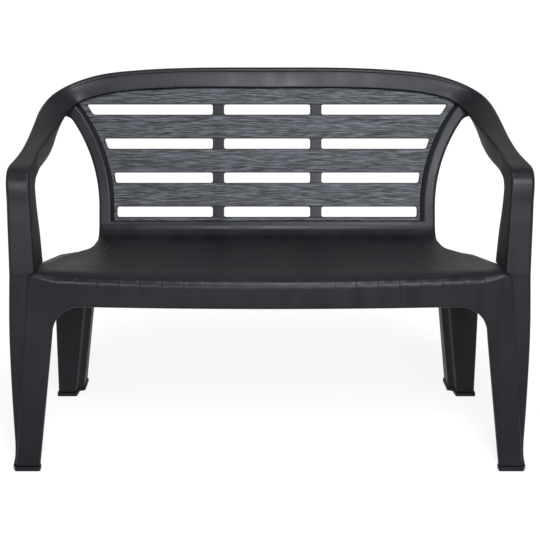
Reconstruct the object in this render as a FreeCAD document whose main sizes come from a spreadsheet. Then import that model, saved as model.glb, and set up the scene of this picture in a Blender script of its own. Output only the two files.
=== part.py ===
import FreeCAD, Part
import math
import os
import Sketcher
from FreeCAD import Vector

# A two-seat garden bench, injection-moulded in polypropylene with open walls.
# X runs across the bench, Y from the front to the back and Z up. The origin is on the
# floor, in the middle of the bench. The pieces are the members of the moulding, divided
# at its creases. Positions called back are measured from the front edge of the seat.

SIZES = {
    "arm_half": 560,           # half width over the arm posts, from which the insets are measured
    "bench_depth": 560,        # front of the seat to the back of the rear feet
    "wall": 4,                 # wall of the moulding
    "edge_radius": 7,          # outer rounding along the arms and the rail
    "clear_of_all": 2000,      # extent of the solids that only cut
    # front legs and their creases
    "foot_height": 9,
    "foot_flare": 5,           # how far the front foot plates stand out beyond the leg
    "rear_foot_flare": 3,
    "leg_top": 310,            # where the legs run into the arched corners
    "leg_inner_low_inset": 55,     # inner edge of the leg face at the floor
    "leg_inner_high_inset": 91,    # and at the leg's top
    "crease_low_inset": 3.5,       # outer edge of the leg face at the floor
    "crease_high_inset": 43.4,     # and under the arm post
    "leg_front_low": 5,        # how far back the leg face stands at the floor
    "leg_lip": 14,             # inner return of the leg face
    "face_step": 8,            # how far the outer panel is set back from the leg face
    "side_foot_inset": -3,     # outer face of the leg where it flares into the foot plate
    "side_low_inset": 1.7,     # and above the flare
    "side_low_up": 45,
    "side_middle_inset": -3.5,     # and at its fullest
    "side_middle_up": 250,
    "side_depth_low": 56,      # front to back, at the foot
    "side_radius": 4.8,
    # seat and apron
    "seat_front_up": 436,      # top of the front edge, in the middle
    "seat_end_rise": 10,       # how much higher the edge is at the ends
    "apron_bow": 14,           # how far the front edge bows forward
    "roll_radius": 18,         # of the rolled front edge
    "apron_low": 368,          # lower edge of the apron in the middle
    "apron_end_low": 371,
    "apron_inset": 190,        # where the apron becomes its arched corners
    "arch_radius": 65,
    "corner_round": 22,        # outer top corners of the apron
    "seat_front_line": 45,     # joint of the apron and the seat skin
    "seat_rear_up": 431,
    "seat_dish": 7,
    "seat_waist_inset": 98,    # where the seat narrows behind the arm posts
    "seat_waist_line": 245,
    # side skirts
    "skirt_front_line": 100,
    "skirt_front_inset": 5.1,
    "skirt_rear_inset": 30,
    "skirt_front_up": 424,
    "skirt_rear_up": 362,
    "skirt_low": 345,
    "skirt_arch": 25,
    "skirt_round": 12,
    "skirt_rear_line": 488,
    "shoulder_flat": 12,       # level edge of the shoulder, beside the seat skin
    "shoulder_lip": 6,
    # back panel, measured up its slope from the base line
    "panel_back": 420,         # how far back the panel's face is at its base
    "panel_up": 460,           # and how high
    "recline": 11,             # degrees
    "face_proud": 8,           # how far the frame stands in front of the slats
    "slat_depth": 9,           # folded edges of the slats
    "slat_wall": 3,
    "slot_first": 15.8,        # lower edge of the lowest row of slots
    "slot_height": 25,
    "slot_pitch": 83.9,
    "slot_corner": 5,
    "slat_end_radius": 460,
    "slat_end_cover": 6,       # solid end of a slat, beyond its hollow back
    "panel_low": 7,            # lower edge of the grained panel
    "panel_high": 350,         # upper edge, hidden inside the rail
    "mullion_side": 119.7,
    "mullion_width": 28,
    "mullion_rib": 3,
    "mullion_rib_depth": 8,
    # curved sides of the back
    "post_half": 412.5,        # outer edge where the post is upright
    "post_radius": 378,
    "post_bend_up": 40.8,
    "post_sweep": 41,          # degrees
    "post_face": 26.5,
    "post_bevel": 10.5,
    "post_margin": 7,          # from the bevel to the slats' ends
    "post_lap": 13,            # how far the post's section reaches behind the slats before it is trimmed
    "post_depth": 26,
    "post_round": 5,
    "post_tail": 60,           # wall below the post, before it is trimmed to the seat
    # band between the back and the seat
    "band_radius": 38,
    "band_top": 3,
    # rear legs
    "rear_leg_top": 440,
    "rear_leg_back_low": 450,  # front web at the floor
    "rear_leg_back_high": 397,
    "rear_leg_side_low_inset": 29,
    "rear_leg_side_high_inset": 34.2,
    "rear_leg_web_low_inset": 73,  # inner corner of the front web at the floor
    "rear_leg_web_high": 17.5,     # and at the top, outside the back posts
    "rear_leg_inner_low_inset": 89,
    "rear_leg_inner_high": 0.5,
    "rear_leg_depth_high": 74,
    "rear_leg_step": 34,       # front to back length of the stepped inner wall's first part
    "rear_leg_step_run": 6,
    "rear_leg_step_taper": 3,
    # stiffening under the seat
    "rear_skirt_low": 352,
    "rib_wall": 3,
    "rib_depth": 24,
    "front_rib_line": 150,
    "rear_rib_line": 262,
    "cross_rib_pitch": 100,
    "cross_rib_count": 8,
}

# Stations along the arm and the top rail, on the right side. Each gives the band's outer
# edge (inset, back, up), the way from there to its inner edge (inward, rearward, downward)
# and the depth of the walls that fold back from the outer and the inner edge.
STATIONS = {
    "post_low": (1, 22, 440, 55, 0, 0, 108, 108),
    "post_high": (0, 29, 600, 50.5, 0, 0, 80, 80),
    "knuckle_low": (-0.5, 31, 642, 50, 1, 0, 86, 86),
    "knuckle": (0.5, 41, 663, 49.5, 1, 0, 86, 86),
    "rest_front": (3, 70, 673, 48, 1.5, 1, 72, 72),
    "rest_near": (7.5, 125, 681, 43, 2, 2, 52, 52),
    "rest_middle": (10, 175, 689, 40, 3, 3, 45, 45),
    "rest_rear": (12.5, 280, 714, 45, 10, 11, 40, 36),
    "corner": (18.5, 375, 746, 52.5, 33, 20, 36, 10),
    "shoulder": (44, 443.5, 780, 48.4, 11.5, 32, 34, 10),
    "bow": (110, 474, 810.5, 25, -9, 43.5, 32, 9),
    "haunch": (210, 487, 829, 8, -16, 48, 30, 9),
    "centre": ("arm_half", 495, 839, 0, -20, 49.8, 30, 9.5),
}
FIELDS = ("inset", "back", "up", "face_in", "face_back", "face_down", "outer_wall", "inner_wall")
SWEEP = list(STATIONS)

# Where the walls turn from the post's depth to the armrest's, they point this many degrees
# below level. Elsewhere they stand square to the band.
FOLDS = {"post_low": 0, "post_high": 0, "knuckle_low": 20, "knuckle": 29, "rest_front": 38, "rest_near": 64}

doc = FreeCAD.newDocument("GardenBench")
sheet = doc.addObject("Spreadsheet::Sheet", "sizes")
parts = []


def fill_sheet():
    cells = dict(SIZES)
    for name, values in STATIONS.items():
        for field, value in zip(FIELDS, values):
            cells[f"{name}_{field}"] = f"={value}"
    for name, angle in FOLDS.items():
        cells[f"{name}_fold"] = angle
    for row, (name, value) in enumerate(cells.items(), start=1):
        sheet.set(f"A{row}", name)
        sheet.set(f"B{row}", str(value))
        sheet.setAlias(f"B{row}", name)
    doc.recompute()


def size(name):
    return float(sheet.get(name))


def half(name):
    """Distance from the middle of the bench, for a size that is an inset from the arm posts."""
    return size("arm_half") - size(f"{name}_inset")


def slat_end_half():
    """Half width of the slots where the posts are upright."""
    return size("post_half") - size("post_face") - size("post_bevel") - size("post_margin")


def mix(low, high, share):
    return low + (high - low) * share


# Thin sections

def turn_left(step):
    return Vector(-step.y, step.x, 0)


def bent_strip(spine, wall, radius):
    """Corners and corner radii of a strip that follows spine, with its wall on the left."""
    steps = [(b - a).normalize() for a, b in zip(spine, spine[1:])]
    inner = [spine[0] + turn_left(steps[0]) * wall]
    inner_radii = [0]
    outer_radii = [0]
    for point, before, after in zip(spine[1:], steps, steps[1:]):
        left = turn_left(before) + turn_left(after)
        inner.append(point + left * (wall / (1 + before.dot(after))))
        closes = before.cross(after).z > 0
        outer_radii.append(radius if closes else max(radius - wall, 1))
        inner_radii.append(max(radius - wall, 1) if closes else radius)
    inner.append(spine[-1] + turn_left(steps[-1]) * wall)
    corners = list(spine) + inner[::-1]
    return corners, outer_radii + [0, 0] + inner_radii[::-1]


def rounded_wire(corners, radii, place):
    """A closed wire through the corners, rounded by the radii. place puts a point in space."""
    count = len(corners)
    ends = []
    for i, (corner, radius) in enumerate(zip(corners, radii)):
        before = (corners[i - 1] - corner).normalize()
        after = (corners[(i + 1) % count] - corner).normalize()
        if radius:
            half = before.getAngle(after) / 2
            reach = radius / math.tan(half)
            middle = (before + after).normalize() * (radius / math.sin(half) - radius)
            ends.append((corner + before * reach, corner + middle, corner + after * reach))
        else:
            ends.append((corner, None, corner))
    edges = []
    for i, (first, middle, last) in enumerate(ends):
        if middle is not None:
            edges.append(Part.Arc(place(first), place(middle), place(last)).toShape())
        start_of_next = ends[(i + 1) % count][0]
        edges.append(Part.LineSegment(place(last), place(start_of_next)).toShape())
    return Part.Wire(edges)


def level(up):
    return lambda point: Vector(point.x, point.y, up)


def upright(side):
    return lambda point: Vector(side, point.x, point.y)


def facing(back):
    return lambda point: Vector(point.x, back, point.y)


def loft(wires, ruled=False):
    return Part.makeLoft(wires, True, ruled, False, 3)


def front_prism(corners, radii, first, last):
    """A prism with a front-view outline, from one depth to another."""
    face = Part.Face(rounded_wire([Vector(*c) for c in corners], radii, facing(first)))
    return face.extrude(Vector(0, last - first, 0))


def block(low, high):
    extent = Vector(*high) - Vector(*low)
    return Part.makeBox(extent.x, extent.y, extent.z, Vector(*low))


# Document objects

def centred():
    """Every piece is drawn from the seat's front edge and moved so that the bench is centred."""
    return FreeCAD.Placement(Vector(0, -size("bench_depth") / 2, 0), FreeCAD.Rotation())


def add_shape(name, shape, exported=True):
    feature = doc.addObject("Part::Feature", name)
    feature.Label = name
    feature.Shape = shape
    feature.Placement = centred()
    if exported:
        parts.append(feature)
    return feature


def add_mirrored(name, source):
    feature = doc.addObject("Part::Mirroring", name)
    feature.Label = name
    feature.Source = source
    feature.Normal = Vector(1, 0, 0)
    parts.append(feature)
    return feature


def add_pair(name, shape):
    right = add_shape(f"right_{name}", shape)
    add_mirrored(f"left_{name}", right)
    return right


def add_body(name, placement=None):
    body = doc.addObject("PartDesign::Body", name)
    body.Label = name
    body.Placement = placement or centred()
    parts.append(body)
    return body


def add_sketch(body, role, name):
    plane = next(f for f in body.Origin.OriginFeatures if f.Role == role)
    sketch = body.newObject("Sketcher::SketchObject", name)
    sketch.AttachmentSupport = [(plane, "")]
    sketch.MapMode = "FlatFace"
    return sketch


def bind(sketch, kind, *items):
    """A dimension whose last item is an expression of the sheet's sizes."""
    expression = items[-1]
    value = float(sketch.evalExpression(expression))
    index = sketch.addConstraint(Sketcher.Constraint(kind, *items[:-1], value))
    sketch.setExpression(f"Constraints[{index}]", expression)


def draw_rectangle(sketch, left, low, width, height):
    """A rectangle by expressions for its lower left corner, width and height."""
    x, y, w, h = (number(sketch, e) for e in (left, low, width, height))
    corners = [Vector(x, y), Vector(x + w, y), Vector(x + w, y + h), Vector(x, y + h)]
    first = sketch.GeometryCount
    for i in range(4):
        sketch.addGeometry(Part.LineSegment(corners[i], corners[(i + 1) % 4]), False)
    for i in range(4):
        kind = "Vertical" if i % 2 else "Horizontal"
        sketch.addConstraint(Sketcher.Constraint("Coincident", first + i, 2, first + (i + 1) % 4, 1))
        sketch.addConstraint(Sketcher.Constraint(kind, first + i))
    bind(sketch, "DistanceX", -1, 1, first, 1, left)
    bind(sketch, "DistanceY", -1, 1, first, 1, low)
    bind(sketch, "DistanceX", first, 1, first, 2, width)
    bind(sketch, "DistanceY", first + 1, 1, first + 1, 2, height)


def draw_outline(sketch, corners, radii=None):
    """A closed outline with rounded corners, fixed where the sizes put it."""
    wire = rounded_wire([Vector(*c) for c in corners], radii or [0] * len(corners), lambda p: p)
    for edge in wire.Edges:
        ends = (edge.Vertexes[0].Point, edge.Vertexes[-1].Point)
        if isinstance(edge.Curve, Part.Circle):
            curve = Part.Arc(ends[0], edge.valueAt(mix(*edge.ParameterRange, 0.5)), ends[1])
        else:
            curve = Part.LineSegment(*ends)
        sketch.addGeometry(curve, False)
    for index in range(sketch.GeometryCount):
        sketch.addConstraint(Sketcher.Constraint("Block", index))


def add_pad(body, sketch, name, length, reverse=False, both=False):
    pad = body.newObject("PartDesign::Pad", name)
    pad.Profile = sketch
    pad.setExpression("Length", length)
    pad.Reversed = reverse
    pad.Midplane = both
    return pad


def add_pocket(body, sketch, name, length, reverse=False):
    pocket = body.newObject("PartDesign::Pocket", name)
    pocket.Profile = sketch
    pocket.setExpression("Length", length)
    pocket.Reversed = reverse
    return pocket


# Shapes of the front

def bow(x):
    """How far the front edge lies behind its foremost point, at x."""
    return size("apron_bow") * (x / seat_half(0)) ** 2


def rise(x):
    return size("seat_end_rise") * (x / seat_half(0)) ** 2


def front_face(x, up):
    """How far back the face of the apron and the legs is, at x and at that height."""
    return mix(size("leg_front_low"), bow(x), up / size("post_low_up"))


def crease(up):
    return mix(half("crease_low"), half("crease_high"), up / size("post_low_up"))


def leg_inner(up):
    return mix(half("leg_inner_low"), half("leg_inner_high"), up / size("leg_top"))


def seat_top(x, back):
    """Height of the seat's top, which is dished from front to back and across."""
    share = (back - size("seat_front_line")) / (rear_line() - size("seat_front_line"))
    edge = mix(size("seat_front_up") + rise(x), size("seat_rear_up"), share)
    return edge - 4 * size("seat_dish") * share * (1 - share)


def seat_stations():
    reach = half("crease_low")
    return [-reach, -reach / 2, 0, reach / 2, reach]


def apron_section(x):
    """The bent wall of the front edge: seat joint, roll, and face down to the leg's top."""
    top = size("seat_front_up") + rise(x)
    low = size("leg_top")
    spine = [
        Vector(front_face(x, low), low),
        Vector(front_face(x, top), top),
        Vector(size("seat_front_line"), top),
    ]
    corners, radii = bent_strip([p for p in reversed(spine)], size("wall"), size("roll_radius"))
    return rounded_wire(corners, radii, upright(x))


def apron_shell():
    shell = loft([apron_section(x) for x in seat_stations()])
    return shell.cut(arch_opening())


def arch_opening():
    """The opening between the front legs, with its arched corners."""
    low = size("leg_top") / 2
    side = leg_inner(size("apron_end_low"))
    foot = leg_inner(low)
    arch = size("arch_radius")
    corners = [(-foot, low), (foot, low), (side, size("apron_end_low")),
               (0, size("apron_low")), (-side, size("apron_end_low"))]
    belly = 16 * side
    far = size("clear_of_all")
    return front_prism(corners, [0, 0, arch, belly, arch], -far, far)


def front_members():
    shell = apron_shell()
    side = half("apron")
    far = size("clear_of_all")
    add_shape("front_apron", shell.common(block((-side, -far, 0), (side, far, far))))
    foot = size("leg_top")
    top = size("seat_front_up") + rise(half("crease_high")) + 1
    outline = [(side, foot), (crease(foot), foot), (crease(top), top), (side, top)]
    corner = shell.common(front_prism(outline, [0, 0, size("corner_round"), 0], -far, far))
    step = crease_wall(foot, top - size("corner_round"))
    inside = (half("post_low") - size("post_low_face_in"), size("post_low_back"), size("post_low_up"))
    behind = block(inside, (far, far, far))
    add_pair("apron_corner", corner.fuse(step).cut(behind))


def crease_wall(low, high):
    """The wall that steps back from the face to the outer panel, along the crease."""
    wall = size("wall")
    wires = []
    for up in (low, high):
        x = crease(up)
        face = front_face(x, up)
        deep = face + size("face_step") + wall
        corners = [Vector(x - wall, face), Vector(x, face), Vector(x, deep), Vector(x - wall, deep)]
        wires.append(rounded_wire(corners, [0] * 4, level(up)))
    return loft(wires, True)


def front_leg_section(up):
    wall = size("wall")
    inner = leg_inner(up)
    outer = crease(up)
    spine = [
        Vector(outer, front_face(outer, up) + size("face_step") + wall),
        Vector(outer, front_face(outer, up)),
        Vector(inner, front_face(inner, up)),
        Vector(inner, front_face(inner, up) + size("leg_lip")),
    ]
    corners, radii = bent_strip(spine[::-1], wall, size("edge_radius"))
    return rounded_wire(corners, radii, level(up))


def panel_line(up):
    return front_face(crease(up), up) + size("face_step")


def leg_side_section(up, side, depth):
    wall = size("wall")
    line = panel_line(up)
    spine = [Vector(crease(up), line), Vector(side, line), Vector(side, line + depth)]
    corners, radii = bent_strip(spine, wall, size("side_radius"))
    return rounded_wire(corners, radii, level(up))


def leg_members():
    foot = size("foot_height")
    top = size("leg_top")
    add_pair("front_leg", loft([front_leg_section(foot), front_leg_section(top)], True))
    high = size("post_low_up")
    heights = [foot, size("side_low_up"), size("side_middle_up"), high]
    sides = [half("side_foot"), half("side_low"), half("side_middle"), half("post_low")]
    sections = []
    for up, side in zip(heights, sides):
        share = (up - foot) / (high - foot)
        depth = mix(size("side_depth_low"), size("post_low_outer_wall"), share)
        sections.append(leg_side_section(up, side, depth))
    add_pair("leg_side", loft(sections, True))


# Arms and top rail

def edge_points(name):
    inset, back, up, inward, rearward, downward, outer, inner = (
        size(f"{name}_{field}") for field in FIELDS)
    first = Vector(size("arm_half") - inset, back, up)
    return first, first + Vector(-inward, rearward, -downward), outer, inner


def sweep_direction(name):
    """The way the band runs at a station, from its neighbours."""
    index = SWEEP.index(name)
    if index == len(SWEEP) - 1:
        return Vector(-1, 0, 0)
    before = edge_points(SWEEP[index - 1])
    after = edge_points(SWEEP[index + 1])
    return (after[0] + after[1] - before[0] - before[1]).normalize()


def fold_direction(name, across):
    """The way the walls point, away from the visible face."""
    if name in FOLDS:
        angle = math.radians(size(f"{name}_fold"))
        return Vector(0, math.cos(angle), -math.sin(angle))
    return across.cross(sweep_direction(name)).normalize()


def band_section(name):
    """A channel: the visible face and the two walls that fold back from its edges."""
    outer, inner, outer_wall, inner_wall = edge_points(name)
    across = (inner - outer).normalize()
    behind = fold_direction(name, across)
    face = (inner - outer).Length
    spine = [Vector(0, outer_wall), Vector(0, 0), Vector(face, 0), Vector(face, inner_wall)]
    corners, radii = bent_strip(spine, size("wall"), size("edge_radius"))
    return rounded_wire(corners, radii, lambda p: outer + across * p.x + behind * p.y)


def band(*names):
    return loft([band_section(name) for name in names])


def arm_post_shape():
    return loft([band_section("post_low"), band_section("post_high")], True)


def arm_members():
    add_pair("arm_post", arm_post_shape())
    first = SWEEP.index("post_high")
    last = SWEEP.index("corner")
    add_pair("armrest", band(*SWEEP[first:last + 1]))
    add_pair("shoulder", band("corner", "shoulder", "bow", "haunch"))
    right = [band_section("haunch"), band_section("centre")]
    left = mirrored(band_section("haunch"))
    add_shape("top_rail", loft(right + [Part.Wire(left.Edges)]))


# Seat

def seat_section(x, over, under):
    """Front-to-back section between two heights over the seat's top."""
    first = size("seat_front_line")
    last = rear_line()
    top = [Vector(x, b, seat_top(x, b)) for b in (first, (first + last) / 2, last)]
    upper = [p + Vector(0, 0, over) for p in top]
    lower = [p + Vector(0, 0, under) for p in top]
    return Part.Wire([
        Part.Arc(*upper).toShape(),
        Part.LineSegment(upper[2], lower[2]).toShape(),
        Part.Arc(*lower[::-1]).toShape(),
        Part.LineSegment(lower[0], upper[0]).toShape(),
    ])


def seat_plan():
    """Lines and half widths of the seat skin, which narrows behind the arm posts."""
    widest = half("post_low") - size("post_low_face_in")
    behind_post = size("skirt_front_line") + size("post_low_face_in") / 2
    return [(size("seat_front_line"), widest), (behind_post, widest - size("rib_wall")),
            (size("seat_waist_line"), half("seat_waist")), (rear_line(), size("post_half"))]


def seat_half(back):
    plan = seat_plan()
    if back <= plan[0][0]:
        return plan[0][1]
    for (line, width), (next_line, next_width) in zip(plan, plan[1:]):
        if back <= next_line:
            return mix(width, next_width, (back - line) / (next_line - line))
    return plan[-1][1]


def seat_outline():
    """Plan outline of the seat skin."""
    right = [(width, line) for line, width in seat_plan()]
    corners = right + [(-x, y) for x, y in right[::-1]]
    radii = [0, 120, 200, 0]
    wire = rounded_wire([Vector(*c) for c in corners], radii + radii[::-1], level(0))
    return Part.Face(wire).extrude(Vector(0, 0, size("clear_of_all")))


def skirt_spine(back):
    """The seat's shoulder: level with the skin, then down to the side and its skirt."""
    first, last = size("skirt_front_line"), size("skirt_rear_line")
    share = (back - first) / (last - first)
    edge = seat_half(back)
    top = seat_top(edge, min(back, rear_line()))
    side = mix(half("skirt_front"), half("skirt_rear"), share)
    shoulder = mix(size("skirt_front_up"), size("skirt_rear_up"), share)
    low = size("skirt_low") + 4 * size("skirt_arch") * share * (1 - share)
    return [Vector(side, low), Vector(side, shoulder), Vector(edge + size("shoulder_lip"), top),
            Vector(edge - size("shoulder_flat"), top)]


def skirt_lines():
    first, last = size("skirt_front_line"), size("skirt_rear_line")
    return [mix(first, last, i / 4) for i in range(5)]


def skirt_section(back):
    corners, radii = bent_strip(skirt_spine(back), size("wall"), size("skirt_round"))
    return rounded_wire(corners, radii, facing(back))


def above_skirt():
    """Everything over and outside the right shoulder's inner surface."""
    wires = []
    for back in skirt_lines():
        corners, radii = bent_strip(skirt_spine(back), size("wall"), size("skirt_round"))
        under = corners[4:]
        far = size("clear_of_all")
        outline = [Vector(under[0].x, far), Vector(far, far), Vector(far, under[-1].y)] + under[::-1]
        wires.append(rounded_wire(outline, [0, 0, 0] + radii[4:][::-1], facing(back)))
    behind = Part.Face(wires[-1]).extrude(Vector(0, size("clear_of_all"), 0))
    return loft(wires).fuse(behind)


def seat_members():
    skin = loft([seat_section(x, 0, -size("wall")) for x in seat_stations()])
    add_shape("seat_panel", skin.common(seat_outline()))
    skirt = loft([skirt_section(back) for back in skirt_lines()])
    behind_post = size("post_low_back") + size("post_low_outer_wall") + 1
    inside = half("skirt_front") - size("wall") - size("skirt_round")
    far = size("clear_of_all")
    notch = block((0, 0, 0), (inside, behind_post, far))
    inner = block((0, 0, 0), (size("post_half"), far, far))
    add_pair("side_skirt", skirt.cut(seat_outline()).cut(notch).cut(inner))


def seat_ribs():
    """The lattice under the seat: two long ribs and the cross ribs between them."""
    wall = size("rib_wall")
    middle = (size("seat_front_up") + size("seat_rear_up")) / 2 - size("seat_dish")
    low = middle - size("wall") - size("rib_depth")
    high = size("seat_front_up")
    bars = []
    for line in (size("front_rib_line"), size("rear_rib_line")):
        reach = seat_half(line) - size("shoulder_flat")
        bars.append(block((-reach, line, low), (reach, line + wall, high)))
    for count in range(int(size("cross_rib_count"))):
        x = (count - (size("cross_rib_count") - 1) / 2) * size("cross_rib_pitch")
        bars.append(block((x - wall / 2, size("seat_front_line"), low), (x + wall / 2, rear_line(), high)))
    lattice = bars[0].multiFuse(bars[1:])
    above = loft([seat_section(x, high, -size("wall")) for x in seat_stations()])
    add_shape("seat_ribs", lattice.cut(above).removeSplitter())


# Back panel

def slope(up_slope, forward):
    """Depth and height of a point of the back, up its slope and forward of the panel's face."""
    angle = math.radians(size("recline"))
    back = size("panel_back") + up_slope * math.sin(angle) - forward * math.cos(angle)
    return Vector(back, size("panel_up") + up_slope * math.cos(angle) + forward * math.sin(angle))


def band_centre():
    """Centre of the curve between the back and the seat."""
    angle = math.radians(size("recline"))
    radius = size("band_radius")
    start = slope(0, size("face_proud"))
    up = size("seat_rear_up") + radius
    along = (up - start.y - radius * math.sin(angle)) / math.cos(angle)
    return Vector(start.x + along * math.sin(angle) - radius * math.cos(angle), up)


def rear_line():
    return band_centre().x


def back_frame():
    """The back's own directions: x across, y up its slope, z forward."""
    base = Vector(0, size("panel_back"), size("panel_up"))
    return FreeCAD.Placement(base, FreeCAD.Rotation(Vector(1, 0, 0), 90 - size("recline")))


def reclined():
    return centred().multiply(back_frame())


def number(sketch, expression):
    return float(sketch.evalExpression(expression))


SLAT_END = "(sizes.post_half - sizes.post_face - sizes.post_bevel - sizes.post_margin)"


def draw_slat(sketch, low, high):
    """A slat's outline between two heights, with ends curved like the frame."""
    radius = number(sketch, "sizes.slat_end_radius")
    across = number(sketch, f"{SLAT_END} + sizes.slat_end_radius")
    bend = size("post_bend_up")
    heights = (number(sketch, low), number(sketch, high))
    reach = [across - math.sqrt(radius ** 2 - (h - bend) ** 2) for h in heights]
    sketch.addGeometry(Part.LineSegment(Vector(-reach[0], heights[0]), Vector(reach[0], heights[0])), False)
    sketch.addGeometry(Part.LineSegment(Vector(-reach[1], heights[1]), Vector(reach[1], heights[1])), False)
    angles = [math.asin((h - bend) / radius) for h in heights]
    right = Part.Circle(Vector(across, bend), Vector(0, 0, 1), radius)
    left = Part.Circle(Vector(-across, bend), Vector(0, 0, 1), radius)
    sketch.addGeometry(Part.ArcOfCircle(right, math.pi - angles[1], math.pi - angles[0]), False)
    sketch.addGeometry(Part.ArcOfCircle(left, angles[0], angles[1]), False)
    for pair in ((0, 2, 2, 2), (1, 2, 2, 1), (1, 1, 3, 2), (0, 1, 3, 1)):
        sketch.addConstraint(Sketcher.Constraint("Coincident", *pair))
    for line in (0, 1):
        sketch.addConstraint(Sketcher.Constraint("Horizontal", line))
    for arc, side in ((2, ""), (3, "-")):
        bind(sketch, "DistanceX", -1, 1, arc, 3, f"{side}({SLAT_END} + sizes.slat_end_radius)")
        bind(sketch, "DistanceY", -1, 1, arc, 3, "sizes.post_bend_up")
        bind(sketch, "Radius", arc, "sizes.slat_end_radius")
    bind(sketch, "DistanceY", -1, 1, 0, 1, low)
    bind(sketch, "DistanceY", -1, 1, 1, 1, high)


def slot_edge(row, top=0):
    """Expression for the lower or upper edge of a row of slots, counted from the bottom."""
    return f"sizes.slot_first + {row} * sizes.slot_pitch + {top} * sizes.slot_height"


def add_slat(name, low, high):
    """A slat folded back along its edges, so that it is open behind."""
    body = add_body(name, reclined())
    sketch = add_sketch(body, "XY_Plane", f"{name}_outline")
    draw_slat(sketch, low, high)
    add_pad(body, sketch, f"{name}_blank", "sizes.slat_depth", reverse=True)
    hollow = add_sketch(body, "XY_Plane", f"{name}_hollow")
    hollow.setExpression("AttachmentOffset.Base.z", "-sizes.slat_wall")
    reach = f"({SLAT_END} - sizes.slat_end_cover)"
    draw_rectangle(hollow, f"-{reach}", f"{low} + sizes.slat_wall", f"2 * {reach}",
                   f"{high} - ({low}) - 2 * sizes.slat_wall")
    add_pocket(body, hollow, f"{name}_back", "sizes.slat_depth - sizes.slat_wall")
    return body


def add_bottom_slat():
    body = add_body("bottom_slat", reclined())
    left = f"-({SLAT_END})"
    width = f"2 * ({SLAT_END})"
    face = add_sketch(body, "XY_Plane", "bottom_slat_outline")
    draw_rectangle(face, left, "sizes.panel_low", width, "sizes.slot_first - sizes.panel_low")
    add_pad(body, face, "bottom_slat_face", "sizes.slat_wall", reverse=True)
    fold = add_sketch(body, "XY_Plane", "bottom_slat_fold")
    draw_rectangle(fold, left, "sizes.slot_first - sizes.slat_wall", width, "sizes.slat_wall")
    add_pad(body, fold, "bottom_slat_edge", "sizes.slat_depth", reverse=True)


def slat_end(up_slope):
    """Half width of the slats at a height, where their ends meet the frame."""
    reach = slat_end_half() + size("slat_end_radius")
    rise_there = max(up_slope - size("post_bend_up"), 0)
    return reach - math.sqrt(size("slat_end_radius") ** 2 - rise_there ** 2)


def slat_field(low, high, depth):
    """The region between the curved slat ends, in the back's frame, from its face backwards."""
    bend = size("post_bend_up")
    levels = [bend, (bend + high) / 2, high] if low < bend else [low, (low + high) / 2, high]
    right = [Vector(slat_end(s), s, 0) for s in levels]
    left = [Vector(-p.x, p.y, 0) for p in right]
    edges = [Part.Arc(*right).toShape(), Part.LineSegment(right[2], left[2]).toShape(),
             Part.Arc(*left[::-1]).toShape()]
    if low < bend:
        foot = slat_end_half()
        edges.append(Part.LineSegment(left[0], Vector(-foot, low, 0)).toShape())
        edges.append(Part.LineSegment(Vector(-foot, low, 0), Vector(foot, low, 0)).toShape())
        edges.append(Part.LineSegment(Vector(foot, low, 0), right[0]).toShape())
    else:
        edges.append(Part.LineSegment(left[0], right[0]).toShape())
    return Part.Face(Part.Wire(edges)).extrude(Vector(0, 0, -depth))


def in_seat_frame(shape):
    shape.Placement = back_frame()
    return shape


def largest(shape):
    return max(shape.Solids, key=lambda solid: solid.Volume)


def add_top_slat(frame):
    low = size("slot_first") + 3 * size("slot_pitch") + size("slot_height")
    high = size("panel_high")
    blank = slat_field(low, high, size("slat_depth"))
    wall = size("slat_wall")
    hollow = slat_field(low + wall, high - wall, size("slat_depth"))
    hollow.translate(Vector(0, 0, -wall))
    reach = slat_end(low) - 2 * size("slat_end_cover")
    inner = block((-reach, low, -size("clear_of_all")), (reach, high, 0))
    slat = in_seat_frame(blank.cut(hollow.common(inner)))
    for member in frame:
        slat = slat.cut(member)
    add_shape("top_slat", largest(slat))


def add_mullion(name, side):
    """Ties between the slats, one in each row of slots, carried by a rib behind them."""
    body = add_body(name, reclined())
    rib = add_sketch(body, "XY_Plane", f"{name}_rib_outline")
    rib.setExpression("AttachmentOffset.Base.z", "-sizes.slat_depth")
    middle = f"{side} * sizes.mullion_side"
    draw_rectangle(rib, f"{middle} - sizes.mullion_rib / 2", "sizes.panel_low", "sizes.mullion_rib",
                   "sizes.panel_high - sizes.panel_low")
    add_pad(body, rib, f"{name}_rib", "sizes.mullion_rib_depth", reverse=True)
    web = add_sketch(body, "XY_Plane", f"{name}_web_outline")
    web.setExpression("AttachmentOffset.Base.z", "-sizes.slat_wall")
    draw_rectangle(web, f"{middle} - sizes.mullion_rib / 2", slot_edge(0), "sizes.mullion_rib",
                   "sizes.slot_height")
    web_pad = add_pad(body, web, f"{name}_web", "sizes.slat_depth - sizes.slat_wall", reverse=True)
    tie = add_sketch(body, "XY_Plane", f"{name}_tie_outline")
    x, low = number(tie, middle), number(tie, slot_edge(0))
    high = low + size("slot_height")
    half, round_off = size("mullion_width") / 2, size("slot_corner")
    right = [(half + round_off, low), (half, low + round_off), (half, high - round_off), (half + round_off, high)]
    corners = [(x + a, b) for a, b in right] + [(x - a, b) for a, b in right[::-1]]
    draw_outline(tie, corners, [0, 6, 6, 0, 0, 6, 6, 0])
    tie_pad = add_pad(body, tie, f"{name}_tie", "sizes.slat_wall", reverse=True)
    doc.recompute()
    pattern = body.newObject("PartDesign::LinearPattern", f"{name}_row")
    pattern.Originals = [web_pad, tie_pad]
    pattern.Direction = (rib, ["V_Axis"])
    pattern.setExpression("Length", "3 * sizes.slot_pitch")
    pattern.Occurrences = 4
    body.Tip = pattern
    return body


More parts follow.
